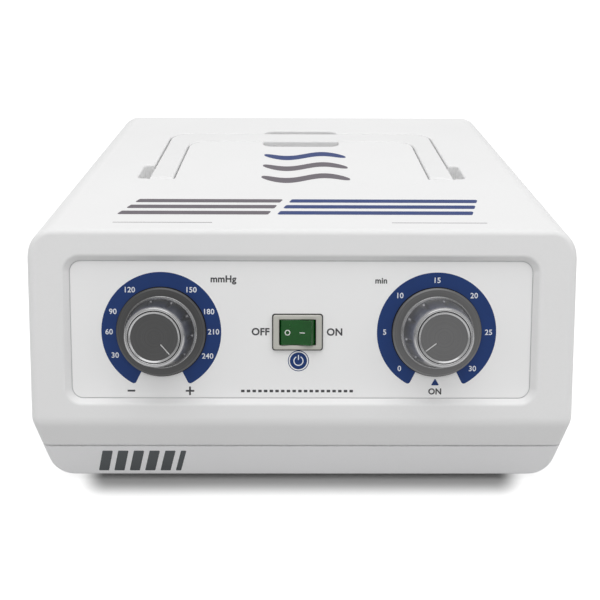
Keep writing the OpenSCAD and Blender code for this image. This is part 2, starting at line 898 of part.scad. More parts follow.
module regulator_spring() {
    color("silver") at_dial(pressure_x) difference() {
        post(spring_r, bonnet_bottom + diaphragm_t, plunger_top - plunger_t);
        post(spring_r - spring_wire, bonnet_bottom, plunger_top);
    }
}

module regulator_diaphragm() {
    color("black") at_dial(pressure_x) post(bonnet_room_r - 0.1, bonnet_bottom, bonnet_bottom + diaphragm_t);
}

module timer_body() {
    color("ivory") at_dial(timer_x) difference() {
        union() {
            post(bush_r, panel_back - over, bush_top);
            slab(timer_w, timer_h, timer_bottom, panel_back);
        }
        post(dial_shaft_r + run_gap, timer_shaft_bottom - 0.2, over);
    }
}

module timer_shaft() {
    color("silver") at_dial(timer_x) post(dial_shaft_r, timer_shaft_bottom, shaft_top);
}

module timer_terminals() {
    color("silver") at_dial(timer_x) for (x = [-12, 0, 12])
        translate([x, 8, 0]) slab(blade_t, blade_w, timer_bottom - blade_l, timer_bottom);
}

// Frame of the compressor, with its origin in the middle of the armature
module at_compressor() {
    translate([comp_x, comp_y, comp_z]) children();
}

// Two copies, one at either side of the middle in X
module both_ends() {
    for (s = [0, 1]) mirror([s, 0, 0]) children();
}

// Two copies, one at either side of the middle in Y
module both_sides() {
    for (s = [0, 1]) mirror([0, s, 0]) children();
}

module compressor_frame() {
    base = frame_z - comp_z;
    color("silver") at_compressor() difference() {
        union() {
            translate([-frame_l / 2, -frame_w / 2, base]) cube([frame_l, frame_w, frame_t]);
            both_ends() translate([frame_l / 2 - end_t, -frame_w / 2, base]) cube([end_t, frame_w, end_h]);
            both_sides() translate([-core_l / 2, core_gap_y + core_depth - core_back, base])
                cube([core_l, core_back, -base - core_h / 2]);
        }
        four(mount_x, mount_y) post(mount_stud_r + run_gap, base - over, base + frame_t + over);
        bar_x(end_hole_r, -frame_l, frame_l);
        both_ends() for (y = [-head_screw, head_screw], z = [-head_screw, head_screw])
            translate([0, y, z]) bar_x(1.5 + seat_gap, frame_l / 2 - end_t - over, frame_l / 2 + over);
    }
}

module compressor_mounts() {
    color("dimgray") translate([comp_x, comp_y, 0]) four(mount_x, mount_y) {
        post(mount_r, floor_z, frame_z);
        post(mount_stud_r, frame_z - over, frame_z + frame_t);
        post(mount_stud_r + 1.9, frame_z + frame_t, frame_z + frame_t + 1.8);
    }
}

module compressor_cores() {
    color("slategray") at_compressor() both_sides() {
        translate([-core_l / 2, core_gap_y + core_depth - core_back, -core_h / 2])
            cube([core_l, core_back, core_h]);
        for (z = [-core_h / 2, -core_leg / 2, core_h / 2 - core_leg])
            translate([-core_l / 2, core_gap_y, z]) cube([core_l, core_depth - core_back, core_leg]);
    }
}

module compressor_coils() {
    room = 0.2;
    color("peru") at_compressor() both_sides() difference() {
        translate([-coil_l / 2, core_gap_y + over, -coil_h / 2]) cube([coil_l, coil_t, coil_h]);
        translate([-core_l / 2 - room, core_gap_y, -core_leg / 2 - room])
            cube([core_l + 2 * room, coil_t + 2 * over, core_leg + 2 * room]);
    }
}

module compressor_armature() {
    washer_r = 8;
    washer_t = 1.6;
    color("lightsteelblue") at_compressor() {
        bar_x(rod_r, -head_x - 3, head_x + 3);
        cube(magnet, center = true);
        both_ends() {
            bar_x(washer_r, frame_l / 2 - washer_t, frame_l / 2);
            bar_x(washer_r, head_x, head_x + washer_t);
        }
    }
}

module compressor_diaphragms() {
    color("black") at_compressor() both_ends() difference() {
        translate([frame_l / 2, -membrane_w / 2, -membrane_w / 2]) cube([membrane_t, membrane_w, membrane_w]);
        bar_x(rod_r + seat_gap, 0, frame_l);
        for (y = [-head_screw, head_screw], z = [-head_screw, head_screw])
            translate([0, y, z]) bar_x(1.7, 0, frame_l);
    }
}

module pump_heads() {
    half = membrane_w / 2;
    color("gray") at_compressor() both_ends() difference() {
        union() {
            translate([head_x, -half, -half]) cube([head_l, membrane_w, membrane_w]);
            translate([outlet_x, 0, 0]) post(port_r, half - over, half + port_l);
        }
        bar_x(head_room_r, head_x - over, head_x + head_room_l);
        translate([outlet_x, 0, 0]) post(port_bore_r, 6, half + port_l + over);
        for (y = [-head_screw, head_screw], z = [-head_screw, head_screw])
            translate([0, y, z]) bar_x(1.7, head_x - over, head_x + head_l + over);
    }
}

module head_screws() {
    far = head_x + head_l;
    color("silver") at_compressor() both_ends()
        for (y = [-head_screw, head_screw], z = [-head_screw, head_screw]) translate([0, y, z]) {
            bar_x(1.5, frame_l / 2 - end_t, far + over);
            bar_x(2.8, far, far + 2);
        }
}

module intake_filters() {
    far = head_x + head_l;
    color("wheat") at_compressor() both_ends() bar_x(filter_r, far, far + filter_l);
}

module air_tank() {
    color("lightgray") translate([tank_x, tank_front_y, tank_z]) difference() {
        union() {
            bar_y(tank_r, 0, tank_l);
            for (y = tank_ports) translate([0, y, 0]) post(port_r, tank_r - over, tank_r + port_l);
        }
        bar_y(tank_r - 2, 2, tank_l - 2);
        for (y = tank_ports) translate([0, y, 0]) post(port_bore_r, tank_r - 3, tank_r + port_l + over);
    }
}

// Frame of the distributor and the manifold: origin on their shared axis at y = 0
module on_line() {
    translate([manifold_x, 0, manifold_z]) children();
}

// Square block about the shared axis, from y0 to y1
module line_block(w, y0, y1) {
    translate([-w / 2, y0, -w / 2]) cube([w, y1 - y0, w]);
}

// Places of the screws that clamp the distributor together
module block_screw_places() {
    for (x = [-block_screw, block_screw], z = [-block_screw, block_screw]) translate([x, 0, z]) children();
}

module distributor_bracket() {
    foot_l = 30;
    color("silver") on_line() difference() {
        union() {
            translate([-block_w / 2, bracket_y, floor_z - manifold_z])
                cube([block_w, bracket_t, manifold_z - floor_z + block_w / 2]);
            translate([-block_w / 2, bracket_y, floor_z - manifold_z]) cube([block_w, foot_l, bracket_t]);
        }
        bar_y(drive_r + 3, bracket_y - over, bracket_y + bracket_t + over);
        block_screw_places() bar_y(block_screw_r + 0.2, bracket_y - over, bracket_y + bracket_t + over);
    }
}

module distributor_motor() {
    color("goldenrod") on_line() difference() {
        bar_y(motor_r, bracket_y - motor_l, bracket_y);
        bar_y(drive_r + run_gap, bracket_y - 10.2, bracket_y + over);
    }
}

module distributor_shaft() {
    color("silver") on_line() bar_y(drive_r, bracket_y - 10, block_front_y - rotor_gap - 2);
}

module distributor_cover() {
    front = bracket_y + bracket_t;
    color("ivory") on_line() difference() {
        line_block(block_w, front, block_front_y);
        bar_y(rotor_room_r, block_front_y - rotor_t - 2 * rotor_gap, block_front_y + over);
        bar_y(drive_r + run_gap, front - over, block_front_y);
        block_screw_places() bar_y(block_screw_r + 0.2, front - over, block_front_y + over);
    }
}

module distributor_rotor() {
    back = block_front_y - rotor_gap;
    port_room = 3;
    color("dimgray") on_line() difference() {
        bar_y(rotor_r, back - rotor_t, back);
        bar_y(drive_r + seat_gap, back - rotor_t - over, back - 2 + 0.1);
        translate([line_r, 0, 0]) bar_y(port_room, back - rotor_t - over, back + over);
    }
}

module distributor_body() {
    back = block_front_y + block_t;
    color("ivory") on_line() difference() {
        union() {
            line_block(block_w, block_front_y, back);
            for (a = line_turns) rotate([0, a, 0]) translate([line_r, 0, 0])
                bar_y(port_r, back - over, back + line_nipple_l);
            translate([0, block_front_y + block_t / 2, 0]) bar_x(port_r, -block_w / 2 - port_l, 0);
        }
        for (a = line_turns) rotate([0, a, 0]) translate([line_r, 0, 0])
            bar_y(port_bore_r, block_front_y - over, back + line_nipple_l + over);
        translate([0, block_front_y + block_t / 2, 0]) bar_x(port_bore_r, -block_w / 2 - port_l - over, -20);
        block_screw_places() bar_y(block_screw_r + seat_gap, block_front_y - over, block_front_y + 6);
    }
}

module distributor_screws() {
    color("silver") on_line() block_screw_places() {
        bar_y(block_screw_head_r, bracket_y - block_screw_head_t, bracket_y);
        bar_y(block_screw_r, bracket_y - over, block_front_y + 5.8);
    }
}

module hose_manifold() {
    floor_y = rear_y - hose_recess;
    color("gainsboro") on_line() difference() {
        union() {
            difference() {
                union() {
                    translate([-tub_w / 2 - tub_wall, tub_back_y, -tub_h / 2 - tub_wall])
                        cube([tub_w + 2 * tub_wall, rear_y - tub_back_y, tub_h + 2 * tub_wall]);
                    translate([-tub_w / 2 - tub_flange, rear_y, -tub_h / 2 - tub_flange])
                        cube([tub_w + 2 * tub_flange, 2, tub_h + 2 * tub_flange]);
                }
                translate([-tub_w / 2, floor_y, -tub_h / 2]) cube([tub_w, 2 * hose_recess, tub_h]);
            }
            for (i = [0:nipple_count - 1], s = [-1, 1])
                translate([(i - (nipple_count - 1) / 2) * nipple_pitch, 0, s * nipple_rows / 2])
                    bar_y(nipple_r, floor_y - over, floor_y + nipple_l);
            for (a = line_turns) rotate([0, a, 0]) translate([line_r, 0, 0])
                bar_y(port_r, tub_back_y - line_nipple_l, tub_back_y + over);
        }
        for (i = [0:nipple_count - 1], s = [-1, 1])
            translate([(i - (nipple_count - 1) / 2) * nipple_pitch, 0, s * nipple_rows / 2])
                bar_y(nipple_bore_r, floor_y - 3, floor_y + nipple_l + over);
        for (a = line_turns) rotate([0, a, 0]) translate([line_r, 0, 0])
            bar_y(port_bore_r, tub_back_y - line_nipple_l - over, tub_back_y + 3);
    }
}

module chamber_hoses() {
    start = block_front_y + block_t + 0.5;
    color("lightblue") on_line() for (a = line_turns) rotate([0, a, 0]) translate([line_r, 0, 0])
        difference() {
            bar_y(port_r + line_hose_wall, start, tub_back_y - 0.5);
            bar_y(port_r + run_gap, start - over, tub_back_y);
        }
}

module air_hoses() {
    color("lightblue") {
        tube(right_head_hose, hose_r);
        tube(left_head_hose, hose_r);
        tube(regulator_hose, hose_r);
        tube(supply_hose, hose_r);
    }
}

// Slots of the mains contacts, or the contacts themselves, made wider by g
module contacts(g, y0, y1) {
    for (p = [[-contact_x, -contact_down], [0, contact_down], [contact_x, -contact_down]])
        translate([inlet_x + p[0] - contact_w / 2 - g, y0, inlet_z + socket_up + p[1] - contact_h / 2 - g])
            cube([contact_w + 2 * g, y1 - y0, contact_h + 2 * g]);
}

module inlet_body() {
    face_y = rear_y + inlet_flange_t;
    color("darkslategray") difference() {
        union() {
            translate([inlet_x - inlet_w / 2, rear_y - inlet_l, inlet_z - inlet_h / 2])
                cube([inlet_w, inlet_l, inlet_h]);
            translate([inlet_x - inlet_w / 2 - inlet_flange, rear_y, inlet_z - inlet_h / 2 - inlet_flange])
                cube([inlet_w + 2 * inlet_flange, inlet_flange_t, inlet_h + 2 * inlet_flange]);
        }
        translate([inlet_x - socket_w / 2, face_y - socket_depth, inlet_z + socket_up - socket_h / 2])
            cube([socket_w, socket_depth + over, socket_h]);
        contacts(seat_gap, rear_y - inlet_l - over, face_y);
        translate([
            inlet_x - drawer_w / 2 - drop_gap, face_y - drawer_l - drop_gap,
            inlet_z - drawer_down - drawer_h / 2 - drop_gap
        ]) cube([drawer_w + 2 * drop_gap, drawer_l + drop_gap + over, drawer_h + 2 * drop_gap]);
    }
}

module inlet_pins() {
    color("gold") contacts(0, rear_y - contact_l, rear_y + inlet_flange_t - 1.5);
}

module fuse_drawer() {
    face_y = rear_y + inlet_flange_t;
    color("dimgray") translate([inlet_x, 0, inlet_z - drawer_down]) difference() {
        union() {
            translate([-drawer_w / 2, face_y - drawer_l, -drawer_h / 2]) cube([drawer_w, drawer_l, drawer_h]);
            translate([-drawer_w / 2 - 1, face_y, -drawer_h / 2 - 1])
                cube([drawer_w + 2, drawer_front_t / 2, drawer_h + 2]);
        }
        for (x = [-fuse_x, fuse_x]) translate([x - fuse_r - drop_gap, face_y - drawer_l + 1.5, -fuse_r - drop_gap])
            cube([2 * (fuse_r + drop_gap), fuse_l + 0.5, drawer_h]);
    }
}

module fuses() {
    start = rear_y + inlet_flange_t - drawer_l + 1.7;
    color("lightcyan") translate([inlet_x, 0, inlet_z - drawer_down - drop_gap])
        for (x = [-fuse_x, fuse_x]) translate([x, 0, 0]) bar_y(fuse_r, start, start + fuse_l);
}

module terminal_block() {
    color("white") difference() {
        translate([terminal_x, terminal_y, floor_z + terminal_size[2] / 2]) cube(terminal_size, center = true);
        for (i = [-2:2]) translate([terminal_x + i * 7.5, terminal_y + 4, floor_z])
            post(1.6, terminal_size[2] / 2, terminal_size[2] + over);
    }
}

module mains_wiring() {
    color("saddlebrown") {
        tube(inlet_wire, wire_r);
        tube(switch_wire, wire_r);
        tube(timer_wire, wire_r);
        tube(coil_wire, wire_r);
        tube(motor_wire, wire_r);
    }
}

top_case();
bottom_tray();
rubber_feet();
case_screws();
front_panel();
panel_overlay();
panel_screws();
handle();
handle_pins();
pressure_knob();
pressure_knob_core();
pressure_knob_cap();
timer_knob();
timer_knob_core();
timer_knob_cap();
dial_nuts();
power_rocker();
switch_body();
switch_terminals();
regulator_body();
regulator_stem();
regulator_plunger();
regulator_spring();
regulator_diaphragm();
timer_body();
timer_shaft();
timer_terminals();
compressor_frame();
compressor_mounts();
compressor_cores();
compressor_coils();
compressor_armature();
compressor_diaphragms();
pump_heads();
head_screws();
intake_filters();
air_tank();
distributor_bracket();
distributor_motor();
distributor_shaft();
distributor_cover();
distributor_rotor();
distributor_body();
distributor_screws();
hose_manifold();
chamber_hoses();
air_hoses();
inlet_body();
inlet_pins();
fuse_drawer();
fuses();
terminal_block();
mains_wiring();
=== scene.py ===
"""Looks of a compression therapy pump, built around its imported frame.

Sizes are in millimetres. Points become metres when a mesh is made.
X runs to the right, Y to the back and Z up; the origin is on the ground under the case.
"""
import json
import logging
from dataclasses import dataclass, field
from enum import Enum
from math import cos, pi, radians, sin, tan
from typing import Callable

import bmesh
import bpy
import numpy as np
from mathutils import Matrix


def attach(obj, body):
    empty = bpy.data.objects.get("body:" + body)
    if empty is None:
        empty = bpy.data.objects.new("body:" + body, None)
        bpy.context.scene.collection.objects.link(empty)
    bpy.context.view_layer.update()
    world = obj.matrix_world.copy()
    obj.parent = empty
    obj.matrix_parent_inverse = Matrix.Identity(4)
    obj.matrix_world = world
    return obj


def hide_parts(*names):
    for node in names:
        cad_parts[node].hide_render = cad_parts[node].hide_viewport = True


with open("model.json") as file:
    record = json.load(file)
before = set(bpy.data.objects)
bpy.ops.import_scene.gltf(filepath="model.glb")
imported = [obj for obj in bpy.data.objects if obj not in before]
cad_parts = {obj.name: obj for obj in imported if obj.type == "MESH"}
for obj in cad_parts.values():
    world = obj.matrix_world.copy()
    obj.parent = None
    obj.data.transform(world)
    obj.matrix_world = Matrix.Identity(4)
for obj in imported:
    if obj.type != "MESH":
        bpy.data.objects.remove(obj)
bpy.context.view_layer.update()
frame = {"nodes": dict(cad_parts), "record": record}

LOG = logging.getLogger("pump")
MM = 0.001
Outline = Callable[[float], np.ndarray]


# ---------------------------------------------------------------- outlines and surfaces


def rounded_loop(corners: np.ndarray, radii: np.ndarray, inset: float = 0.0, steps: int = 6) -> np.ndarray:
    """Closed outline with an arc in each corner, drawn in by a distance.

    Each corner moves along the sum of its two inward normals until both edges have moved by the inset.
    The arc's centre lies one radius inside both edges, and its points turn about it from edge to edge.

    Args:
        corners: Corners in counter-clockwise order, shape (k, 2).
        radii: Radius of each corner.
        inset: Distance that the outline is drawn in, or out where it is negative.
        steps: Steps in each arc.

    Returns:
        Points of the outline, shape (k * (steps + 1), 2).
    """
    corners = np.asarray(corners, float)
    before = corners - np.roll(corners, 1, 0)
    after = np.roll(corners, -1, 0) - corners
    before /= np.linalg.norm(before, axis=1)[:, None]
    after /= np.linalg.norm(after, axis=1)[:, None]
    turn = np.arctan2(
        before[:, 0] * after[:, 1] - before[:, 1] * after[:, 0], (before * after).sum(1)
    )
    side = np.sign(turn)
    normal = np.stack([-before[:, 1], before[:, 0]], 1)
    normal_after = np.stack([-after[:, 1], after[:, 0]], 1)
    moved = corners + inset * (normal + normal_after) / (1 + (normal * normal_after).sum(1))[:, None]
    reach = np.maximum(np.asarray(radii, float) - side * inset, 0.02)
    centre = moved - before * (reach * np.tan(np.abs(turn) / 2))[:, None] + (side * reach)[:, None] * normal
    angle = turn[:, None] * np.linspace(0, 1, steps + 1)[None, :]
    spoke = np.stack(
        [
            np.cos(angle) * normal[:, None, 0] - np.sin(angle) * normal[:, None, 1],
            np.sin(angle) * normal[:, None, 0] + np.cos(angle) * normal[:, None, 1],
        ],
        2,
    )
    return (centre[:, None] - (side * reach)[:, None, None] * spoke).reshape(-1, 2)


def rounded_line(points: list[tuple[float, float]], radii: list[float], steps: int = 5) -> np.ndarray:
    """Open line with an arc in each inner corner: the closed outline without its two end arcs.

    Args:
        points: Corners of the line.
        radii: Radius of each inner corner.
        steps: Steps in each arc.

    Returns:
        Points of the line, shape (n, 2).
    """
    path = np.asarray(points, float)
    before = path[1:-1] - path[:-2]
    after = path[2:] - path[1:-1]
    before /= np.linalg.norm(before, axis=1)[:, None]
    after /= np.linalg.norm(after, axis=1)[:, None]
    cosine = np.clip((before * after).sum(1), -1, 1)
    reach = np.asarray(radii, float) * np.tan(np.arccos(cosine) / 2)
    first = path[1:-1] - before * reach[:, None]
    last = path[1:-1] + after * reach[:, None]
    t = np.linspace(0, 1, steps + 1)[None, :, None]
    bend = (1 - t) ** 2 * first[:, None] + 2 * t * (1 - t) * path[1:-1][:, None] + t**2 * last[:, None]
    return np.concatenate([path[:1], bend.reshape(-1, 2), path[-1:]])


def box_corners(width: float, height: float) -> np.ndarray:
    """Corners of a rectangle about the origin, counter-clockwise."""
    return np.array([[1, -1], [1, 1], [-1, 1], [-1, -1]]) * [width / 2, height / 2]


def plate(width: float, height: float, radius: float, steps: int = 6) -> Outline:
    """Outline of a rounded rectangle as a function of its inset."""
    return lambda inset: rounded_loop(box_corners(width, height), np.full(4, radius), inset, steps)


def disc(radius: float, sides: int = 48) -> Outline:
    """Outline of a circle as a function of its inset."""
    turn = np.linspace(0, 2 * pi, sides, endpoint=False)
    return lambda inset: (radius - inset) * np.stack([np.cos(turn), np.sin(turn)], 1)


def lip(radius: float, face: float, steps: int = 5, last: float = 80.0) -> list[tuple[float, float]]:
    """Levels of a cutter that rounds the edge it cuts into a face.

    The outset grows as radius * (1 - cos t) while the level climbs to the face as radius * (sin t - 1).

    Args:
        radius: Radius of the rounded edge.
        face: Level of the face.
        steps: Steps of the rounded edge.
        last: Angle of the last step, in degrees; the cutter then runs on past the face.

    Returns:
        Pairs of inset and level.
    """
    t = np.radians(np.linspace(0, last, steps + 1))
    inset = -radius * (1 - np.cos(t))
    level = face - radius * (1 - np.sin(t))
    run = radius * 0.25
    out = (inset[-1] - run * np.sin(t[-1]) / np.cos(t[-1]), level[-1] + run)
    return [*zip(inset.tolist(), level.tolist()), out]


def crown(radius: float, top: float, steps: int = 5) -> list[tuple[float, float]]:
    """Levels of a solid with a round upper edge: the inset is radius * (1 - cos t), the level goes as radius * sin t."""
    t = np.linspace(0, pi / 2, steps + 1)
    return [*zip((radius * (1 - np.cos(t))).tolist(), (top - radius * (1 - np.sin(t))).tolist())]


def foot(radius: float, bottom: float, steps: int = 4) -> list[tuple[float, float]]:
    """Levels of a solid whose lower edge is round."""
    return [(inset, 2 * bottom - level) for inset, level in reversed(crown(radius, bottom, steps))]


@dataclass(frozen=True)
class Place:
    """Frame that a surface is drawn in: its origin and its three directions in the object's frame."""

    origin: tuple[float, float, float] = (0.0, 0.0, 0.0)
    right: tuple[float, float, float] = (1.0, 0.0, 0.0)
    up: tuple[float, float, float] = (0.0, 1.0, 0.0)
    out: tuple[float, float, float] = (0.0, 0.0, 1.0)

    def world(self, local: np.ndarray) -> np.ndarray:
        """Points of this frame in the object's frame."""
        return np.asarray(self.origin) + np.asarray(local, float) @ np.array([self.right, self.up, self.out])

    def shifted(self, x: float, y: float, z: float = 0.0) -> "Place":
        """The same directions about another origin, given in this frame."""
        return Place(tuple(self.world(np.array([x, y, z]))), self.right, self.up, self.out)

    def turned(self, degrees: float) -> "Place":
        """The frame turned counter-clockwise about its own outward direction."""
        a = radians(degrees)
        right, up = np.array(self.right), np.array(self.up)
        return Place(
            self.origin, tuple(cos(a) * right + sin(a) * up), tuple(cos(a) * up - sin(a) * right), self.out
        )


GROUND = Place()


@dataclass
class Skin:
    """Closed surfaces as arrays: points in millimetres, faces by index and the finish of each face."""

    points: np.ndarray
    faces: list[list[int]]
    finish: list[int] = field(default_factory=list)

    def __post_init__(self) -> None:
        """Gives every face the first finish where none is named."""
        self.finish = self.finish or [0] * len(self.faces)

    def __add__(self, other: "Skin") -> "Skin":
        """Both surfaces as one skin."""
        shift = len(self.points)
        return Skin(
            np.concatenate([self.points, other.points]),
            self.faces + [[i + shift for i in f] for f in other.faces],
            self.finish + other.finish,
        )

    def placed(self, place: Place) -> "Skin":
        """The skin carried into another frame."""
        return Skin(place.world(self.points), self.faces, self.finish)

    def finished(self, number: int) -> "Skin":
        """The skin with one finish all over."""
        return Skin(self.points, self.faces, [number] * len(self.faces))


def carried(rings: np.ndarray, caps: bool = True, closed: bool = False, finish: list[int] | None = None) -> Skin:
    """Surface through a row of rings: each face joins two neighbours on one ring to the same two on the next.

    Args:
        rings: Ring points, shape (rings, points, 3).
        caps: True to close the first and the last ring with a flat face.
        closed: True to join the last ring to the first.
        finish: Finish of each band of faces, then of the two caps.

    Returns:
        The closed surface.
    """
    count, size, _ = rings.shape
    rows = count if closed else count - 1
    i, j = np.meshgrid(np.arange(rows), np.arange(size), indexing="ij")
    n, k = (i + 1) % count, (j + 1) % size
    quads = np.stack([i * size + j, i * size + k, n * size + k, n * size + j], 2).reshape(-1, 4)
    faces = quads.tolist()
    bands = finish or [0] * (rows + 2)
    marks = np.repeat(bands[:rows], size).tolist()
    if caps and not closed:
        faces += [list(range(size))[::-1], list(range((count - 1) * size, count * size))]
        marks += list(bands[rows:rows + 2])
    return Skin(rings.reshape(-1, 3), faces, marks)


def prism(outline: Outline, levels: list[tuple[float, float]], finish: list[int] | None = None) -> Skin:
    """Solid whose section at each level is the outline drawn in by that level's inset.

    Args:
        outline: Points of the section as a function of the inset.
        levels: Pairs of inset and level, from the lowest up.
        finish: Finish of each band, then of the bottom and the top.

    Returns:
        The closed solid.
    """
    rings = [np.column_stack([(p := outline(inset)), np.full(len(p), level)]) for inset, level in levels]
    return carried(np.stack(rings), finish=finish)


def turned(profile: np.ndarray, sides: int = 64, closed: bool = False, finish: list[int] | None = None) -> Skin:
    """Surface of a profile of radius and height carried round the Z axis."""
    turn = np.linspace(0, 2 * pi, sides, endpoint=False)
    profile = np.asarray(profile, float)
    rings = np.stack(
        [
            profile[:, :1] * np.cos(turn),
            profile[:, :1] * np.sin(turn),
            np.repeat(profile[:, 1:], sides, 1),
        ],
        2,
    )
    return carried(rings, closed=closed, caps=not closed, finish=finish)


def strip(inner: np.ndarray, outer: np.ndarray, low: float, high: float, closed: bool = False) -> Skin:
    """Flat band between two lines, as thick as the distance between two levels."""
    flat = lambda line, level: np.column_stack([line, np.full(len(line), level)])
    rings = np.stack([flat(inner, low), flat(inner, high), flat(outer, high), flat(outer, low)], 1)
    return carried(rings, caps=not closed, closed=closed)


def ring_band(inner: float, outer: float, start: float, stop: float, low: float, high: float, ends: float = 0.0,
              steps: int = 96) -> Skin:
    """Flat ring arc between two angles, measured clockwise from up, with round corners at its ends.

    Near an end, the band narrows at both edges by ends - sqrt(ends^2 - (ends - s)^2), where s is the distance
    to that end along the arc.

    Args:
        inner: Inner radius.
        outer: Outer radius.
        start: First angle, in degrees.
        stop: Last angle, in degrees.
        low: Lower level.
        high: Upper level.
        ends: Radius of the corners at the ends.
        steps: Steps along the arc.

    Returns:
        The closed band.
    """
    middle = (inner + outer) / 2
    grain = np.degrees(ends / middle) if ends else 0.0
    close = start + grain * (1 - np.cos(np.linspace(0, pi / 2, 7)))
    angle = np.unique(np.concatenate([close, np.linspace(start + grain, stop - grain, steps), start + stop - close]))
    s = np.minimum(angle - start, stop - angle) * pi / 180 * middle
    narrow = ends - np.sqrt(np.maximum(ends**2 - np.maximum(ends - s, 0) ** 2, 0)) if ends else np.zeros_like(s)
    way = np.stack([np.sin(np.radians(angle)), np.cos(np.radians(angle))], 1)
    full = abs(stop - start) >= 359.9
    if full:
        way, narrow = way[:-1], narrow[:-1]
    return strip((inner + narrow)[:, None] * way, (outer - narrow)[:, None] * way, low, high, closed=full)


# ---------------------------------------------------------------- finishes


class Bench:
    """Node tree of one material, with short calls for the nodes that the finishes use."""

    def __init__(self, name: str) -> None:
        """Starts a material with a clean tree and a surface shader."""
        self.material = bpy.data.materials.new(name)
        self.material.use_nodes = True
        self.tree = self.material.node_tree
        self.tree.nodes.clear()
        self.shader = self.add("ShaderNodeBsdfPrincipled")
        output = self.add("ShaderNodeOutputMaterial")
        self.link(self.shader.outputs["BSDF"], output.inputs["Surface"])
        self.where = self.add("ShaderNodeTexCoord").outputs["Object"]

    def add(self, kind: str, **settings: object) -> bpy.types.Node:
        """Adds a node and sets its properties."""
        node = self.tree.nodes.new(kind)
        for key, value in settings.items():
            setattr(node, key, value)
        return node

    def link(self, source: bpy.types.NodeSocket, target: bpy.types.NodeSocket) -> None:
        """Joins two sockets."""
        self.tree.links.new(source, target)

    def stretched(self, scale: tuple[float, float, float], turn: tuple[float, float, float] = (0, 0, 0),
                  centre: tuple[float, float, float] = (0, 0, 0)) -> bpy.types.NodeSocket:
        """Object coordinates about a centre in metres, turned and then stretched."""
        moved = self.add("ShaderNodeVectorMath", operation="SUBTRACT")
        self.link(self.where, moved.inputs[0])
        moved.inputs[1].default_value = centre
        mapping = self.add("ShaderNodeMapping")
        mapping.inputs["Rotation"].default_value = turn
        mapping.inputs["Scale"].default_value = scale
        self.link(moved.outputs[0], mapping.inputs["Vector"])
        return mapping.outputs["Vector"]

    def noise(self, scale: float, detail: float = 2.0, rough: float = 0.5,
              where: bpy.types.NodeSocket | None = None) -> bpy.types.NodeSocket:
        """Value of a noise texture; the scale is in features per metre."""
        node = self.add("ShaderNodeTexNoise")
        node.inputs["Scale"].default_value = scale
        node.inputs["Detail"].default_value = detail
        node.inputs["Roughness"].default_value = rough
        self.link(where or self.where, node.inputs["Vector"])
        return node.outputs["Fac"]

    def spread(self, value: bpy.types.NodeSocket, low: float, high: float, to_low: float,
               to_high: float) -> bpy.types.NodeSocket:
        """A value carried from one range to another, held at both ends."""
        node = self.add("ShaderNodeMapRange")
        for key, number in (("From Min", low), ("From Max", high), ("To Min", to_low), ("To Max", to_high)):
            node.inputs[key].default_value = number
        self.link(value, node.inputs["Value"])
        return node.outputs["Result"]

    def mixed(self, share: bpy.types.NodeSocket, first: object, second: object) -> bpy.types.NodeSocket:
        """Two colours, or colour sockets, mixed by a share."""
        node = self.add("ShaderNodeMix", data_type="RGBA")
        self.link(share, node.inputs["Factor"])
        for key, value in (("A", first), ("B", second)):
            socket = next(s for s in node.inputs if s.name == key and s.type == "RGBA")
            if isinstance(value, bpy.types.NodeSocket):
                self.link(value, socket)
            else:
                socket.default_value = (*value, 1.0)
        return next(s for s in node.outputs if s.type == "RGBA")

    def bumped(self, height: bpy.types.NodeSocket, depth: float, strength: float = 1.0,
               under: bpy.types.NodeSocket | None = None) -> bpy.types.NodeSocket:
        """Normal of a height field; the depth is in metres."""
        node = self.add("ShaderNodeBump")
        node.inputs["Strength"].default_value = strength
        node.inputs["Distance"].default_value = depth
        self.link(height, node.inputs["Height"])
        if under is not None:
            self.link(under, node.inputs["Normal"])
        return node.outputs["Normal"]


def shade(colour: tuple[float, float, float], factor: float) -> tuple[float, float, float]:
    """A colour made lighter or darker."""
    return tuple(min(1.0, c * factor) for c in colour)


def srgb(*levels: float) -> tuple[float, float, float]:
    """Linear colour of three display levels from 0 to 255."""
    v = np.array(levels) / 255
    return tuple(np.where(v <= 0.04045, v / 12.92, ((v + 0.055) / 1.055) ** 2.4).tolist())


@dataclass(frozen=True)
class Moulded:
    """Injection-moulded plastic: fine spark grain, faint flow clouds, soft rub marks."""

    name: str
    colour: tuple[float, float, float]
    roughness: float = 0.42
    grain: float = 1500.0
    depth: float = 0.00002
    clouds: float = 0.02
    rubbed: float = 0.08

    def made(self) -> bpy.types.Material:
        """Builds the material."""
        b = Bench(self.name)
        cloud = b.spread(b.noise(9, 3), 0.3, 0.7, 0, 1)
        speck = b.spread(b.noise(self.grain * 0.6, 2), 0.35, 0.65, 0, 1)
        base = b.mixed(cloud, shade(self.colour, 1 - self.clouds), shade(self.colour, 1 + self.clouds * 0.6))
        scuff = b.noise(34, 6, 0.7, b.stretched((1, 0.18, 1), (0.3, 0.5, 0.6)))
        mark = b.spread(scuff, 0.62, 0.78, 0, self.rubbed)
        worn = b.mixed(mark, base, shade(self.colour, 0.86))
        tint = b.mixed(b.spread(speck, 0, 1, 0, 0.5), worn, shade(self.colour, 0.985))
        b.link(tint, b.shader.inputs["Base Color"])
        rough = b.spread(b.noise(60, 4, 0.6), 0.3, 0.7, self.roughness * 0.88, self.roughness * 1.12)
        b.link(rough, b.shader.inputs["Roughness"])
        waves = b.bumped(b.noise(24, 2), 0.00006, 0.4)
        b.link(b.bumped(b.noise(self.grain, 3, 0.6), self.depth, 0.5, waves), b.shader.inputs["Normal"])
        return b.material


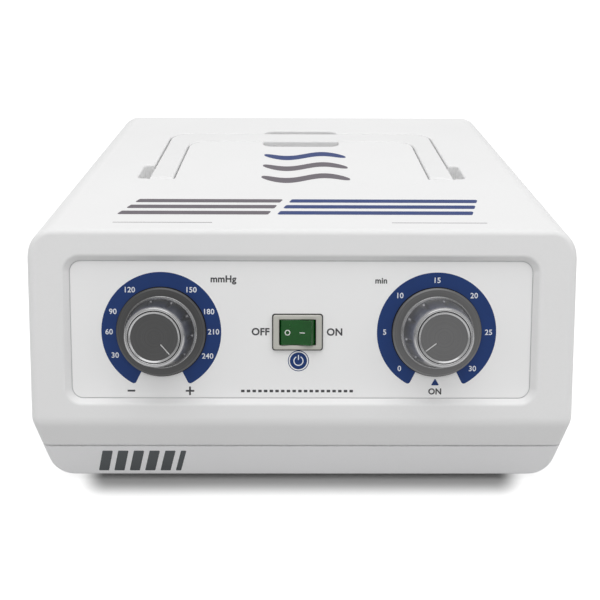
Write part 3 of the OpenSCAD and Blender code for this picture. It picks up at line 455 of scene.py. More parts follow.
@dataclass(frozen=True)
class Satin:
    """Printed foil of a control panel: very fine even grain and a faint sheen."""

    name: str
    colour: tuple[float, float, float]
    roughness: float = 0.36
    coat: float = 0.0

    def made(self) -> bpy.types.Material:
        """Builds the material."""
        b = Bench(self.name)
        cloud = b.spread(b.noise(14, 2), 0.3, 0.7, 0, 1)
        base = b.mixed(cloud, shade(self.colour, 0.985), shade(self.colour, 1.01))
        dust = b.spread(b.noise(420, 4, 0.7), 0.66, 0.8, 0, 0.12)
        b.link(b.mixed(dust, base, shade(self.colour, 0.9)), b.shader.inputs["Base Color"])
        rough = b.spread(b.noise(45, 4), 0.3, 0.7, self.roughness * 0.9, self.roughness * 1.15)
        b.link(rough, b.shader.inputs["Roughness"])
        b.shader.inputs["Coat Weight"].default_value = self.coat
        b.shader.inputs["Coat Roughness"].default_value = 0.2
        b.link(b.bumped(b.noise(3200, 2), 0.000008, 0.5), b.shader.inputs["Normal"])
        return b.material


@dataclass(frozen=True)
class Ink:
    """Screen-printed ink: an even film with tiny pinholes and a soft edge of wear."""

    name: str
    colour: tuple[float, float, float]
    roughness: float = 0.5

    def made(self) -> bpy.types.Material:
        """Builds the material."""
        b = Bench(self.name)
        film = b.spread(b.noise(120, 4, 0.6), 0.3, 0.7, 0, 1)
        base = b.mixed(film, shade(self.colour, 0.94), shade(self.colour, 1.06))
        hole = b.spread(b.noise(2600, 2, 0.6), 0.74, 0.8, 0, 0.35)
        b.link(b.mixed(hole, base, shade(self.colour, 1.8)), b.shader.inputs["Base Color"])
        b.link(b.spread(film, 0, 1, self.roughness * 0.9, self.roughness * 1.1), b.shader.inputs["Roughness"])
        b.shader.inputs["Specular IOR Level"].default_value = 0.3
        b.link(b.bumped(b.noise(1800, 3), 0.000006, 0.5), b.shader.inputs["Normal"])
        return b.material


@dataclass(frozen=True)
class TurnedMetal:
    """Metal turned on a lathe: fine rings about the axis of the piece, with darker and lighter cuts."""

    name: str
    colour: tuple[float, float, float]
    place: Place
    roughness: float = 0.3
    rings: float = 2600.0
    depth: float = 0.000006
    metallic: float = 1.0

    def made(self) -> bpy.types.Material:
        """Builds the material: the rings are noise of the distance from the axis."""
        b = Bench(self.name)
        centre = tuple(np.array(self.place.origin) * MM)
        moved = b.add("ShaderNodeVectorMath", operation="SUBTRACT")
        b.link(b.where, moved.inputs[0])
        moved.inputs[1].default_value = centre
        parts = []
        for axis in (self.place.right, self.place.up):
            dot = b.add("ShaderNodeVectorMath", operation="DOT_PRODUCT")
            b.link(moved.outputs[0], dot.inputs[0])
            dot.inputs[1].default_value = axis
            parts.append(dot.outputs["Value"])
        flat = b.add("ShaderNodeCombineXYZ")
        b.link(parts[0], flat.inputs[0])
        b.link(parts[1], flat.inputs[1])
        reach = b.add("ShaderNodeVectorMath", operation="LENGTH")
        b.link(flat.outputs[0], reach.inputs[0])
        row = b.add("ShaderNodeCombineXYZ")
        b.link(reach.outputs["Value"], row.inputs[0])
        cut = b.noise(self.rings, 3, 0.6, row.outputs[0])
        cloud = b.spread(b.noise(90, 3), 0.3, 0.7, 0, 1)
        tone = b.mixed(b.spread(cut, 0.35, 0.65, 0, 1), shade(self.colour, 0.86), shade(self.colour, 1.12))
        b.link(b.mixed(b.spread(cloud, 0, 1, 0, 0.25), tone, shade(self.colour, 0.8)), b.shader.inputs["Base Color"])
        b.shader.inputs["Metallic"].default_value = self.metallic
        b.link(b.spread(cut, 0.3, 0.7, self.roughness * 0.85, self.roughness * 1.2), b.shader.inputs["Roughness"])
        b.link(b.bumped(cut, self.depth, 0.6), b.shader.inputs["Normal"])
        return b.material


@dataclass(frozen=True)
class Metal:
    """Plated, cast or rolled metal: brushed along one way, with faint stains."""

    name: str
    colour: tuple[float, float, float]
    roughness: float = 0.34
    way: tuple[float, float, float] = (1.0, 0.08, 1.0)
    stain: float = 0.18

    def made(self) -> bpy.types.Material:
        """Builds the material."""
        b = Bench(self.name)
        brush = b.noise(700, 3, 0.6, b.stretched(self.way))
        cloud = b.spread(b.noise(40, 4, 0.6), 0.35, 0.7, 0, self.stain)
        tone = b.mixed(b.spread(brush, 0.3, 0.7, 0, 1), shade(self.colour, 0.9), shade(self.colour, 1.08))
        b.link(b.mixed(cloud, tone, shade(self.colour, 0.6)), b.shader.inputs["Base Color"])
        b.shader.inputs["Metallic"].default_value = 1.0
        b.link(b.spread(brush, 0.3, 0.7, self.roughness * 0.8, self.roughness * 1.25), b.shader.inputs["Roughness"])
        b.link(b.bumped(brush, 0.00001, 0.6), b.shader.inputs["Normal"])
        return b.material


@dataclass(frozen=True)
class Rubber:
    """Matt elastomer or felt: dull, with a dusty bloom and a coarse skin."""

    name: str
    colour: tuple[float, float, float]
    roughness: float = 0.82
    grain: float = 900.0
    depth: float = 0.00004

    def made(self) -> bpy.types.Material:
        """Builds the material."""
        b = Bench(self.name)
        bloom = b.spread(b.noise(70, 5, 0.65), 0.45, 0.75, 0, 0.35)
        b.link(b.mixed(bloom, self.colour, shade(self.colour, 1.7)), b.shader.inputs["Base Color"])
        b.link(b.spread(b.noise(180, 3), 0.3, 0.7, self.roughness * 0.92, 0.95), b.shader.inputs["Roughness"])
        b.link(b.bumped(b.noise(self.grain, 4, 0.7), self.depth, 0.6), b.shader.inputs["Normal"])
        return b.material


@dataclass(frozen=True)
class Tinted:
    """Clear coloured plastic, such as a lit rocker, a hose or a fuse glass."""

    name: str
    colour: tuple[float, float, float]
    roughness: float = 0.12
    passing: float = 0.3

    def made(self) -> bpy.types.Material:
        """Builds the material."""
        b = Bench(self.name)
        cloud = b.spread(b.noise(130, 3), 0.3, 0.7, 0, 1)
        b.link(b.mixed(cloud, shade(self.colour, 0.9), shade(self.colour, 1.12)), b.shader.inputs["Base Color"])
        b.shader.inputs["Transmission Weight"].default_value = self.passing
        b.shader.inputs["IOR"].default_value = 1.49
        b.link(b.spread(b.noise(300, 4), 0.4, 0.75, self.roughness, self.roughness * 1.8), b.shader.inputs["Roughness"])
        b.link(b.bumped(b.noise(600, 2), 0.000008, 0.4), b.shader.inputs["Normal"])
        return b.material


# ---------------------------------------------------------------- making and riding


class Shop:
    """Turns skins into objects, cuts them, dresses them and hands them to the frame."""

    def __init__(self) -> None:
        """Starts with no materials made."""
        self.materials: dict[str, bpy.types.Material] = {}

    def material(self, finish: object) -> bpy.types.Material:
        """The material of a finish, made once."""
        if finish.name not in self.materials:
            self.materials[finish.name] = finish.made()
        return self.materials[finish.name]

    def part(self, name: str, skin: Skin, finishes: list | None = None) -> bpy.types.Object:
        """Makes an object of a closed skin, with its faces outward.

        Args:
            name: Name of the object.
            skin: Surfaces in millimetres.
            finishes: Finish of each number that the skin's faces carry.

        Returns:
            The object, linked to the scene.
        """
        mesh = bpy.data.meshes.new(name)
        mesh.from_pydata((skin.points * MM).tolist(), [], skin.faces)
        mesh.polygons.foreach_set("material_index", np.array(skin.finish, np.int32))
        box = bmesh.new()
        box.from_mesh(mesh)
        bmesh.ops.recalc_face_normals(box, faces=box.faces)
        box.to_mesh(mesh)
        box.free()
        piece = bpy.data.objects.new(name, mesh)
        bpy.context.scene.collection.objects.link(piece)
        for finish in finishes or []:
            mesh.materials.append(self.material(finish))
        return piece

    def baked(self, piece: bpy.types.Object) -> bpy.types.Object:
        """Fixes an object's modifiers into its mesh."""
        bpy.context.view_layer.update()
        graph = bpy.context.evaluated_depsgraph_get()
        mesh = bpy.data.meshes.new_from_object(piece.evaluated_get(graph))
        piece.modifiers.clear()
        piece.data = mesh
        return piece

    def combined(self, piece: bpy.types.Object, tools: list[bpy.types.Object],
                 way: str = "DIFFERENCE") -> bpy.types.Object:
        """Cuts or joins an object with others, which are then removed.

        Args:
            piece: Object that stays.
            tools: Objects that cut it or join it.
            way: DIFFERENCE, UNION or INTERSECT.

        Returns:
            The object with its new mesh.
        """
        for tool in tools:
            cut = piece.modifiers.new(tool.name, "BOOLEAN")
            cut.operation = way
            cut.solver = "MANIFOLD"
            cut.object = tool
        self.baked(piece)
        for tool in tools:
            bpy.data.objects.remove(tool)
        return piece

    def dressed(self, piece: bpy.types.Object, body: str, slot: str, stands_for: list[str], edge: float = 34.0,
                bevel: float = 0.0) -> bpy.types.Object:
        """Smooths an object, keeps its hard edges and hands it to the frame.

        Args:
            piece: The finished object.
            body: Body that it rides on.
            slot: Material slot of the record; not used.
            stands_for: Nodes that it replaces.
            edge: Angle in degrees above which an edge stays sharp.
            bevel: Width of a small bevel on the sharp edges, in millimetres.

        Returns:
            The object.
        """
        if bevel:
            soft = piece.modifiers.new("edge", "BEVEL")
            soft.width = bevel * MM
            soft.segments = 2
            soft.limit_method = "ANGLE"
            soft.angle_limit = radians(edge)
            soft.harden_normals = False
            self.baked(piece)
        mesh = piece.data
        mesh.polygons.foreach_set("use_smooth", np.ones(len(mesh.polygons), bool))
        mesh.set_sharp_from_angle(angle=radians(edge))
        level = piece.modifiers.new("even", "WEIGHTED_NORMAL")
        level.keep_sharp = True
        level.weight = 80
        self.baked(piece)
        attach(piece, body)
        if stands_for:
            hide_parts(*stands_for)
        LOG.info("%s: %d faces on %s", piece.name, len(piece.data.polygons), body)
        return piece

    def lettering(self, name: str, words: list[tuple[str, float, float, float]], place: Place, low: float,
                  thick: float, finish: object, weight: float = 0.016) -> bpy.types.Object:
        """Printed figures as one mesh, each line of text made a mesh before it is placed.

        Args:
            name: Name of the object.
            words: Text, place to the right, place up and height of the figures, in millimetres.
            place: Frame that they are printed in.
            low: Level of the print's underside.
            thick: Thickness of the print.
            finish: Ink.
            weight: How far the strokes are widened, as a share of the size of the letters.

        Returns:
            The object.
        """
        skin = None
        for text, x, y, height in words:
            curve = bpy.data.curves.new("text", "FONT")
            curve.body = text
            curve.align_x = "CENTER"
            curve.align_y = "CENTER"
            curve.space_character = 1.04
            curve.offset = weight
            curve.size = 1.0
            curve.resolution_u = 6
            maker = bpy.data.objects.new("text", curve)
            bpy.context.scene.collection.objects.link(maker)
            bpy.context.view_layer.update()
            graph = bpy.context.evaluated_depsgraph_get()
            flat = bpy.data.meshes.new_from_object(maker.evaluated_get(graph))
            bpy.data.objects.remove(maker)
            points = np.zeros(len(flat.vertices) * 3)
            flat.vertices.foreach_get("co", points)
            points = points.reshape(-1, 3)[:, :2]
            faces = [list(p.vertices) for p in flat.polygons]
            middle = (points.max(0) + points.min(0)) / 2
            points = (points - middle) * (height / 0.72) + [x, y]
            count = len(points)
            edges = np.array([(a, b) for f in faces for a, b in zip(f, f[1:] + f[:1])])
            code = edges[:, 0] * count + edges[:, 1]
            rim = edges[~np.isin(code, edges[:, 1] * count + edges[:, 0])]
            walls = np.column_stack([rim[:, 0], rim[:, 1], rim[:, 1] + count, rim[:, 0] + count]).tolist()
            both = np.concatenate(
                [np.column_stack([points, np.full(count, low)]), np.column_stack([points, np.full(count, low + thick)])]
            )
            piece = Skin(both, [f[::-1] for f in faces] + [[i + count for i in f] for f in faces] + walls)
            skin = piece if skin is None else skin + piece
        return self.part(name, skin.placed(place), [finish])


# ---------------------------------------------------------------- sizes that the pieces share


@dataclass(frozen=True)
class Case:
    """Sizes of the case and the frames that its parts sit in."""

    width: float = 236.4
    foot_z: float = 3.0
    top_z: float = 113.0
    bend_z: float = 35.4
    front_y: float = -117.7
    rear_y: float = 119.3
    lean: float = 21.3
    under: float = 8.0
    draft: float = 0.1
    top_r: float = 12.0
    bottom_r: float = 12.0
    bend_r: float = 10.0
    wall: float = 3.0
    seam_z: float = 22.2
    seam_gap: float = 1.15
    side_edge_r: float = 4.0
    rear_edge_r: float = 5.0
    brow_r: float = 1.9
    sole_r: float = 1.6
    panel_drop: float = 43.0
    dial_drop: float = 0.8

    @property
    def edge_y(self) -> float:
        """Place of the top edge of the leaning front."""
        return self.front_y + (self.top_z - self.bend_z) * tan(radians(self.lean))

    @property
    def panel(self) -> Place:
        """Frame of the panel: right, up the lean and outward, about the middle of the panel."""
        a = radians(self.lean)
        up, out = (0.0, sin(a), cos(a)), (0.0, -cos(a), sin(a))
        return Place((0.0, self.edge_y, self.top_z), (1.0, 0.0, 0.0), up, out).shifted(0, -self.panel_drop)

    @property
    def dials(self) -> Place:
        """Frame of the dials and of the switch, a little below the middle of the panel."""
        return self.panel.shifted(0, -self.dial_drop)

    def side_line(self, inset: float, fold: int = 10) -> np.ndarray:
        """Outline of the case seen from the front, drawn in, with its points paired left and right."""
        low_x = self.width / 2 - (self.bend_z - self.foot_z) * tan(radians(self.under))
        high_x = self.width / 2 - (self.top_z - self.bend_z) * tan(radians(self.draft))
        right = np.array([[low_x, self.foot_z], [self.width / 2, self.bend_z], [high_x, self.top_z]])
        corners = np.concatenate([right, right[::-1] * [-1, 1]])
        radii = np.array([self.bottom_r, self.bend_r, self.top_r] * 2)[[0, 1, 2, 2, 1, 0]]
        loop = rounded_loop(corners, radii, inset, fold)
        size = fold + 1
        low, path, high = loop[:size], loop[: 3 * size], loop[2 * size : 3 * size]
        levels = np.concatenate([[18.0], np.linspace(27.4, 44.4, 35), [70.0]])
        wall = np.column_stack([np.interp(levels, path[:, 1], path[:, 0]), levels])
        half = np.concatenate([low, wall, high])
        return np.concatenate([half, half[::-1] * [-1, 1]])

    def face_y(self, z: np.ndarray, rear: bool) -> np.ndarray:
        """Depth of the front or the rear face at the heights z: two straight lines joined by an arc at the bend."""
        drop, rise = self.bend_z + 20, 60.0
        slope = 0.0 if rear else tan(radians(self.lean))
        way = -1.0 if rear else 1.0
        bend_y = self.rear_y if rear else self.front_y
        line = rounded_line(
            [
                (bend_y + way * drop * tan(radians(self.under)), self.bend_z - drop),
                (bend_y, self.bend_z),
                (bend_y + way * (self.top_z + rise - self.bend_z) * slope, self.top_z + rise),
            ],
            [self.bend_r], 24,
        )
        return np.interp(z, line[:, 1], line[:, 0])

    def block(self, inset: float) -> Skin:
        """Solid body of the case, drawn in by a distance.

        Rings of the side outline run from front to back. At each end the outline is drawn in by r * (1 - sin t)
        while the ring moves off the face by r * (1 - cos t), which rounds the edge, and rows of faces that run
        straight across close the end. The radius r is blended over the height: small along the sole and the brow,
        and larger at the sides.

        Args:
            inset: Distance that the body is drawn in.

        Returns:
            The closed body.
        """
        turn = np.linspace(0, pi / 2, 9)
        rings = []
        level = self.side_line(0)[:, 1]
        stops = [self.foot_z + 1, self.foot_z + 9, self.top_z - 9, self.top_z - 1]
        ends_radii = (
            (False, (self.sole_r, self.side_edge_r, self.brow_r)),
            (True, (self.sole_r, self.rear_edge_r, self.rear_edge_r)),
        )
        for rear, radii in ends_radii:
            low, side, high = (max(radius - inset, 0.4) for radius in radii)
            r = np.interp(level, stops, [low, side, side, high])
            way = -1.0 if rear else 1.0
            ends = []
            for t in turn:
                lines = [self.side_line(inset + radius * (1 - sin(t))) for radius in (low, side, high)]
                share = [(side - r) / max(side - low, 1e-6), (side - r) / max(side - high, 1e-6)]
                share = np.clip(np.stack(share), 0, 1)
                share[0] *= level < self.bend_z
                share[1] *= level > self.bend_z
                line = lines[1] * (1 - share.sum(0))[:, None]
                line = line + lines[0] * share[0][:, None] + lines[2] * share[1][:, None]
                y = self.face_y(line[:, 1], rear) + way * (inset + r * (1 - cos(t)))
                ends.append(np.column_stack([line[:, 0], y, line[:, 1]]))
            rings += ends[::-1] if rear else ends
        body = carried(np.stack(rings), caps=False)
        size = len(rings[0])
        half, last = size // 2, (len(rings) - 1) * size
        k = np.arange(half - 1)
        rows = np.stack([k, k + 1, size - 2 - k, size - 1 - k], 1)
        return Skin(body.points, body.faces + rows.tolist() + (rows[:, ::-1] + last).tolist())


@dataclass(frozen=True)
class Grip:
    """Sizes of the folding handle and of the room that it lies in."""

    width: float = 155.0
    arm: float = 12.0
    bar: float = 17.0
    thick: float = 8.0
    front_y: float = -15.546
    back_y: float = 73.454
    corner_r: float = 12.0
    inner_r: float = 11.0
    gap: float = 0.8
    floor_z: float = 104.7
    pocket: float = 6.0
    pocket_l: float = 22.5
    finger_w: float = 44.0
    finger_front: float = 45.054
    finger_back: float = 80.254
    finger_depth: float = 18.0
    finger_r: float = 6.0

    def plan(self, inset: float) -> np.ndarray:
        """Outline of the handle from above, an arch that is open at the front."""
        x, xi, yi = self.width / 2, self.width / 2 - self.arm, self.back_y - self.bar
        corners = [(x, self.front_y), (x, self.back_y), (-x, self.back_y), (-x, self.front_y),
                   (-xi, self.front_y), (-xi, yi), (xi, yi), (xi, self.front_y)]
        radii = [0.3, self.corner_r, self.corner_r, 0.3, 0.3, self.inner_r, self.inner_r, 0.3]
        return rounded_loop(np.array(corners), np.array(radii), inset, 10)


@dataclass
class CaseShell:
    """Top case and tray: two moulded shells that meet at a thin dark seam."""

    shop: Shop
    case: Case
    grip: Grip
    hose_window: tuple[float, float] = (89.4, 36.4)
    inlet_window: tuple[float, float] = (27.4, 47.4)
    white: Moulded = Moulded("case_white", srgb(240, 240, 240), 0.46, rubbed=0.05)
    grey: Moulded = Moulded("tray_grey", srgb(246, 246, 247), 0.5)

    def slab(self, name: str, low: float, high: float) -> bpy.types.Object:
        """A block wider than the case between two levels."""
        return self.shop.part(name, prism(plate(400, 400, 1), [(0, low), (0, high)]))

    def boxed(self, name: str, centre: tuple[float, float, float], size: tuple[float, float, float],
              radius: float = 0.6) -> bpy.types.Object:
        """A block about a centre, with its upright edges rounded."""
        place = GROUND.shifted(*centre)
        skin = prism(plate(size[0], size[1], radius), [(0, -size[2] / 2), (0, size[2] / 2)])
        return self.shop.part(name, skin.placed(place))

    def wells(self, grow: float, drop: float, edge: float) -> list[bpy.types.Object]:
        """Rooms of the handle, its pockets and the fingers, grown by a wall or rounded at the top edge.

        Args:
            grow: Distance that each room is grown sideways.
            drop: Distance that each room is grown downward.
            edge: Radius of the rounded top edge, or 0 for a plain block.

        Returns:
            The three tools.
        """
        g, top = self.grip, self.case.top_z
        gap = g.gap + grow

        def levels(floor: float, out: float) -> list[tuple[float, float]]:
            """Levels of one room, from its floor to its rounded or plain rim, grown by a distance."""
            rim = lip(edge, top) if edge else [(0.0, top + 2)]
            return [(-out, floor)] + [(inset - out, level) for inset, level in rim]

        pocket_y = (2 * g.front_y + g.pocket_l) / 2
        tools = [self.shop.part("arch_room", prism(g.plan, levels(g.floor_z - drop, gap)))]
        for side in (-1, 1):
            place = GROUND.shifted(side * (g.width / 2 + g.pocket / 2), pocket_y)
            skin = prism(plate(g.pocket, g.pocket_l, 2.5), levels(g.floor_z - drop, grow + 0.01))
            tools.append(self.shop.part("pocket_room", skin.placed(place)))
        middle = (g.finger_front + g.finger_back) / 2
        skin = prism(
            plate(g.finger_w, g.finger_back - g.finger_front, g.finger_r),
            levels(top - g.finger_depth - drop, grow + 0.02),
        )
        tools.append(self.shop.part("finger_room", skin.placed(GROUND.shifted(0, middle))))
        return tools

    def panel_room(self) -> bpy.types.Object:
        """Tool that cuts the panel's opening, with its rounded outer edge."""
        rim = [(0.0, -2.9), (-0.12, -2.72), (-1.75, -0.55), (-2.0, -0.3), (-2.3, -0.12), (-2.75, -0.01), (-3.9, 0.06)]
        levels = [(0.0, -12.0)] + rim
        skin = prism(plate(199.6, 60, 5, 10), levels)
        return self.shop.part("panel_room", skin.placed(self.case.panel.shifted(-0.5, 0)))

    def top_case(self) -> bpy.types.Object:
        """White upper shell with its wells, its panel opening and the two rear windows."""
        c, shop = self.case, self.shop
        piece = shop.part("top_case_shell", c.block(0), [self.white])
        shop.combined(piece, [self.slab("under", -20, c.seam_z)])
        hollow = shop.part("hollow", c.block(c.wall))
        first, *others = self.wells(2.5, 2.5, 0)
        shop.combined(hollow, [shop.combined(first, others, "UNION")])
        shop.combined(piece, [hollow])
        shop.combined(piece, self.wells(0, 0, 0.9))
        windows = [
            self.boxed("hose_window", (-40, c.rear_y, 62), (self.hose_window[0], 14, self.hose_window[1])),
            self.boxed("inlet_window", (78, c.rear_y, 60), (self.inlet_window[0], 14, self.inlet_window[1])),
        ]
        shop.combined(piece, [self.panel_room()] + windows)
        return shop.dressed(piece, "case", "case_white", ["top_case"], 30)

    def tray(self) -> bpy.types.Object:
        """Grey lower shell with its vents, screw holes and a lip behind the seam."""
        c, shop = self.case, self.shop
        piece = shop.part("tray_shell", c.block(0), [self.grey])
        shop.combined(piece, [self.slab("over", c.seam_z - c.seam_gap, 200)])
        hollow = shop.part("hollow", c.block(c.wall))
        shop.combined(piece, [hollow])
        lip_ring = shop.part("lip", c.block(c.wall - 0.6), [self.grey])
        shop.combined(lip_ring, [shop.part("lip_room", c.block(c.wall + 1.2))])
        shop.combined(lip_ring, [self.slab("over", c.seam_z + 2, 200), self.slab("under", -20, 18)])
        shop.combined(piece, [lip_ring], "UNION")
        tools = [
            self.boxed("vent", (-15 + i * 9, -8, 3), (3, 30, 12), 1.45) for i in range(-4, 5)
        ]
        for x in (-100, 100):
            for y in (c.edge_y + 18, c.rear_y - 14):
                skin = prism(disc(3.3), [(0, 0), (0, 7)]).placed(GROUND.shifted(x, y))
                tools.append(shop.part("screw_room", skin))
        shop.combined(piece, tools)
        return shop.dressed(piece, "case", "tray_grey", ["bottom_tray"], 30)

    def build(self) -> None:
        """Builds both shells."""
        self.top_case()
        self.tray()


@dataclass
class Handle:
    """Folding carrying handle: a flat arch with round edges, on two pins at its front ends."""

    shop: Shop
    case: Case
    grip: Grip
    low_r: float = 0.8
    high_r: float = 1.1
    white: Moulded = Moulded("handle_white", srgb(238, 238, 238), 0.44, rubbed=0.1)

    def build(self) -> None:
        """Builds the arch: its plan with round upper and lower edges, cut by a side outline with round front ends."""
        g, top = self.grip, self.case.top_z
        low = top - g.thick
        levels = foot(self.low_r, low) + crown(self.high_r, top)
        piece = self.shop.part("handle_arch", prism(g.plan, levels), [self.white])
        half = g.thick / 2
        corners = [
            (g.back_y + 0.5, low), (g.back_y + 0.5, top + 1), (g.front_y, top + 0.005), (g.front_y, low - 0.005),
        ]
        line = rounded_loop(np.array(corners), np.array([3.0, 0.2, half, half]), 0, 14)
        side = Place((0.0, 0.0, 0.0), (0.0, 1.0, 0.0), (0.0, 0.0, 1.0), (1.0, 0.0, 0.0))
        tool = self.shop.part("side", prism(lambda inset: line, [(0, -g.width), (0, g.width)]).placed(side))
        self.shop.combined(piece, [tool], "INTERSECT")
        self.shop.dressed(piece, "handle_arm", "case_white", ["handle"], 30)


@dataclass(frozen=True)
class DialMark:
    """One figure of a dial: its text and its angle clockwise from up, in degrees."""

    text: str
    angle: float


@dataclass
class Dial:
    """Turned metal knob with ten flutes, a shiny foot and shoulder, and a face with a pointer."""

    shop: Shop
    place: Place
    name: str
    node: str
    pointer: float
    # Painted light: a factor that paints this copy of the knob lighter or darker, standing in for how the light falls
    # on it.
    tone: float
    skirt_r: float = 19.25
    under: float = -2.22
    top: float = 15.18
    flutes: int = 10
    flute_turn: float = 27.0

    def __post_init__(self) -> None:
        """Makes the finishes of the skirt, the cone, the bright bands, the face and the pointer."""
        tone, place, name = self.tone, self.place, self.name
        grey = lambda level: (level, level, level * 1.01)
        self.finishes = [
            # Skirt, cone and face colours carry the painted-light tone.
            TurnedMetal(name + "_skirt", grey(0.11 * tone), place, 0.42, 1500),
            TurnedMetal(name + "_cone", grey(0.34 * tone), place, 0.33, 900),
            TurnedMetal(name + "_bright", grey(0.42), place, 0.24, 1200),
            TurnedMetal(name + "_face", grey(0.12 * tone), place, 0.48, 2600),
            Ink(name + "_pointer", srgb(214, 214, 214), 0.35),
        ]

    def shell(self) -> Skin:
        """Knob surface over turn and height.

        The profile gives a radius and a height. On the cone, each flute takes off the part of the radius beyond
        a straight inner cut, times exp(-(a / w)^2), where a is the angle from the middle of the flute and w its width.

        Returns:
            The closed shell, open below for the core.
        """
        u, t = self.under, self.top
        outer = rounded_line(
            [
                (12.05, u), (self.skirt_r, u), (self.skirt_r, u + 0.8), (18.5, u + 1.25), (15.5, u + 1.45),
                (14.5, u + 2.9), (12.75, t - 2.4), (12.45, t - 1.0), (11.7, t + 0.02), (10.85, t - 0.5),
                (10.75, t - 1.2), (10.6, t - 1.6), (10.6, u + 12.5), (12.05, u + 12.5),
            ],
            [0.2, 0.2, 0.4, 0.25, 1.1, 0.5, 0.4, 0.75, 0.6, 0.3, 0.05, 0.05], 5,
        )
        cone = (outer[:, 1] > u + 2.7) & (outer[:, 1] < t - 1.9) & (outer[:, 0] > 12.3)
        first, last = np.flatnonzero(cone)[[0, -1]]
        rows = np.column_stack([np.linspace(outer[first, k], outer[last, k], 26) for k in (0, 1)])
        profile = np.concatenate([outer[:first], rows, outer[last + 1 :]])
        sides = 360
        turn = np.linspace(0, 2 * pi, sides, endpoint=False)
        step = 2 * pi / self.flutes
        phase = pi / 2 - radians(self.pointer + self.flute_turn)
        away = (turn - phase + step / 2) % step - step / 2
        groove = np.exp(-((away / 0.05) ** 2))
        level = (profile[:, 1] - (u + 3.6)) / (t - 3.6 - (u + 3.6))
        deep = np.where((profile[:, 0] > 12.3) & (level > 0) & (level < 1), 1.1 * np.clip(1 - level, 0, 1) ** 0.6, 0.0)
        deep *= np.clip(level / 0.12, 0, 1)
        radius = profile[:, :1] - deep[:, None] * groove[None, :]
        rings = np.stack([radius * np.cos(turn), radius * np.sin(turn), np.repeat(profile[:, 1:], sides, 1)], 2)
        height, reach = profile[:, 1], profile[:, 0]
        bright = ((height > u + 1.4) & (height < u + 2.8) & (reach < 15.6)) | ((height > t - 1.3) & (reach > 10.7))
        bands = np.where(bright, 2, np.where(height > u + 2.7, 1, 0))
        return carried(rings, caps=False, closed=True, finish=bands.tolist() + [0, 0])

    def face(self) -> bpy.types.Object:
        """Dished face disc with its engraved pointer; the light paint at the bottom of the engraving is laid by build.
        """
        t = self.top
        profile = rounded_line([(0.02, t - 1.5), (10.66, t - 1.5), (10.66, t - 0.12), (10.4, t - 0.1), (9.8, t - 0.62),
                                (0.02, t - 0.62)], [0.05, 0.1, 0.1, 0.2], 4)
        size = len(profile) - 1
        reach = (profile[:-1, 0] + profile[1:, 0]) / 2
        bands = np.where((reach > 9.8) & (profile[:-1, 1] > t - 0.9), 2, 3).tolist() + [3, 3]
        disc_piece = self.shop.part(
            self.name + "_face", turned(profile, 96, finish=bands[:size] + [3, 3]).placed(self.place), self.finishes
        )
        way = self.place.turned(-self.pointer)
        slot = prism(plate(0.62, 5.8, 0.3), [(0.12, t - 1.0), (0.0, t - 0.75), (-0.1, t - 0.3)])
        tool = self.shop.part("slot", slot.placed(way.shifted(0, 6.7)), self.finishes)
        self.shop.combined(disc_piece, [tool])
        return disc_piece

    def build(self) -> None:
        """Builds the knob and its face."""
        knob = self.shop.part(self.name + "_shell", self.shell().placed(self.place), self.finishes)
        self.shop.dressed(knob, self.name, "knob_metal", [self.node], 40)
        self.shop.dressed(self.face(), self.name, "knob_cap_metal", [self.node + "_cap"], 34)
        way = self.place.turned(-self.pointer).shifted(0, 6.7)
        paint = prism(plate(0.44, 5.6, 0.2), [(0, self.top - 1.0), (0, self.top - 0.72)]).placed(way)
        line = self.shop.part(self.name + "_pointer", paint, self.finishes[4:])
        self.shop.dressed(line, self.name, "knob_cap_metal", [])


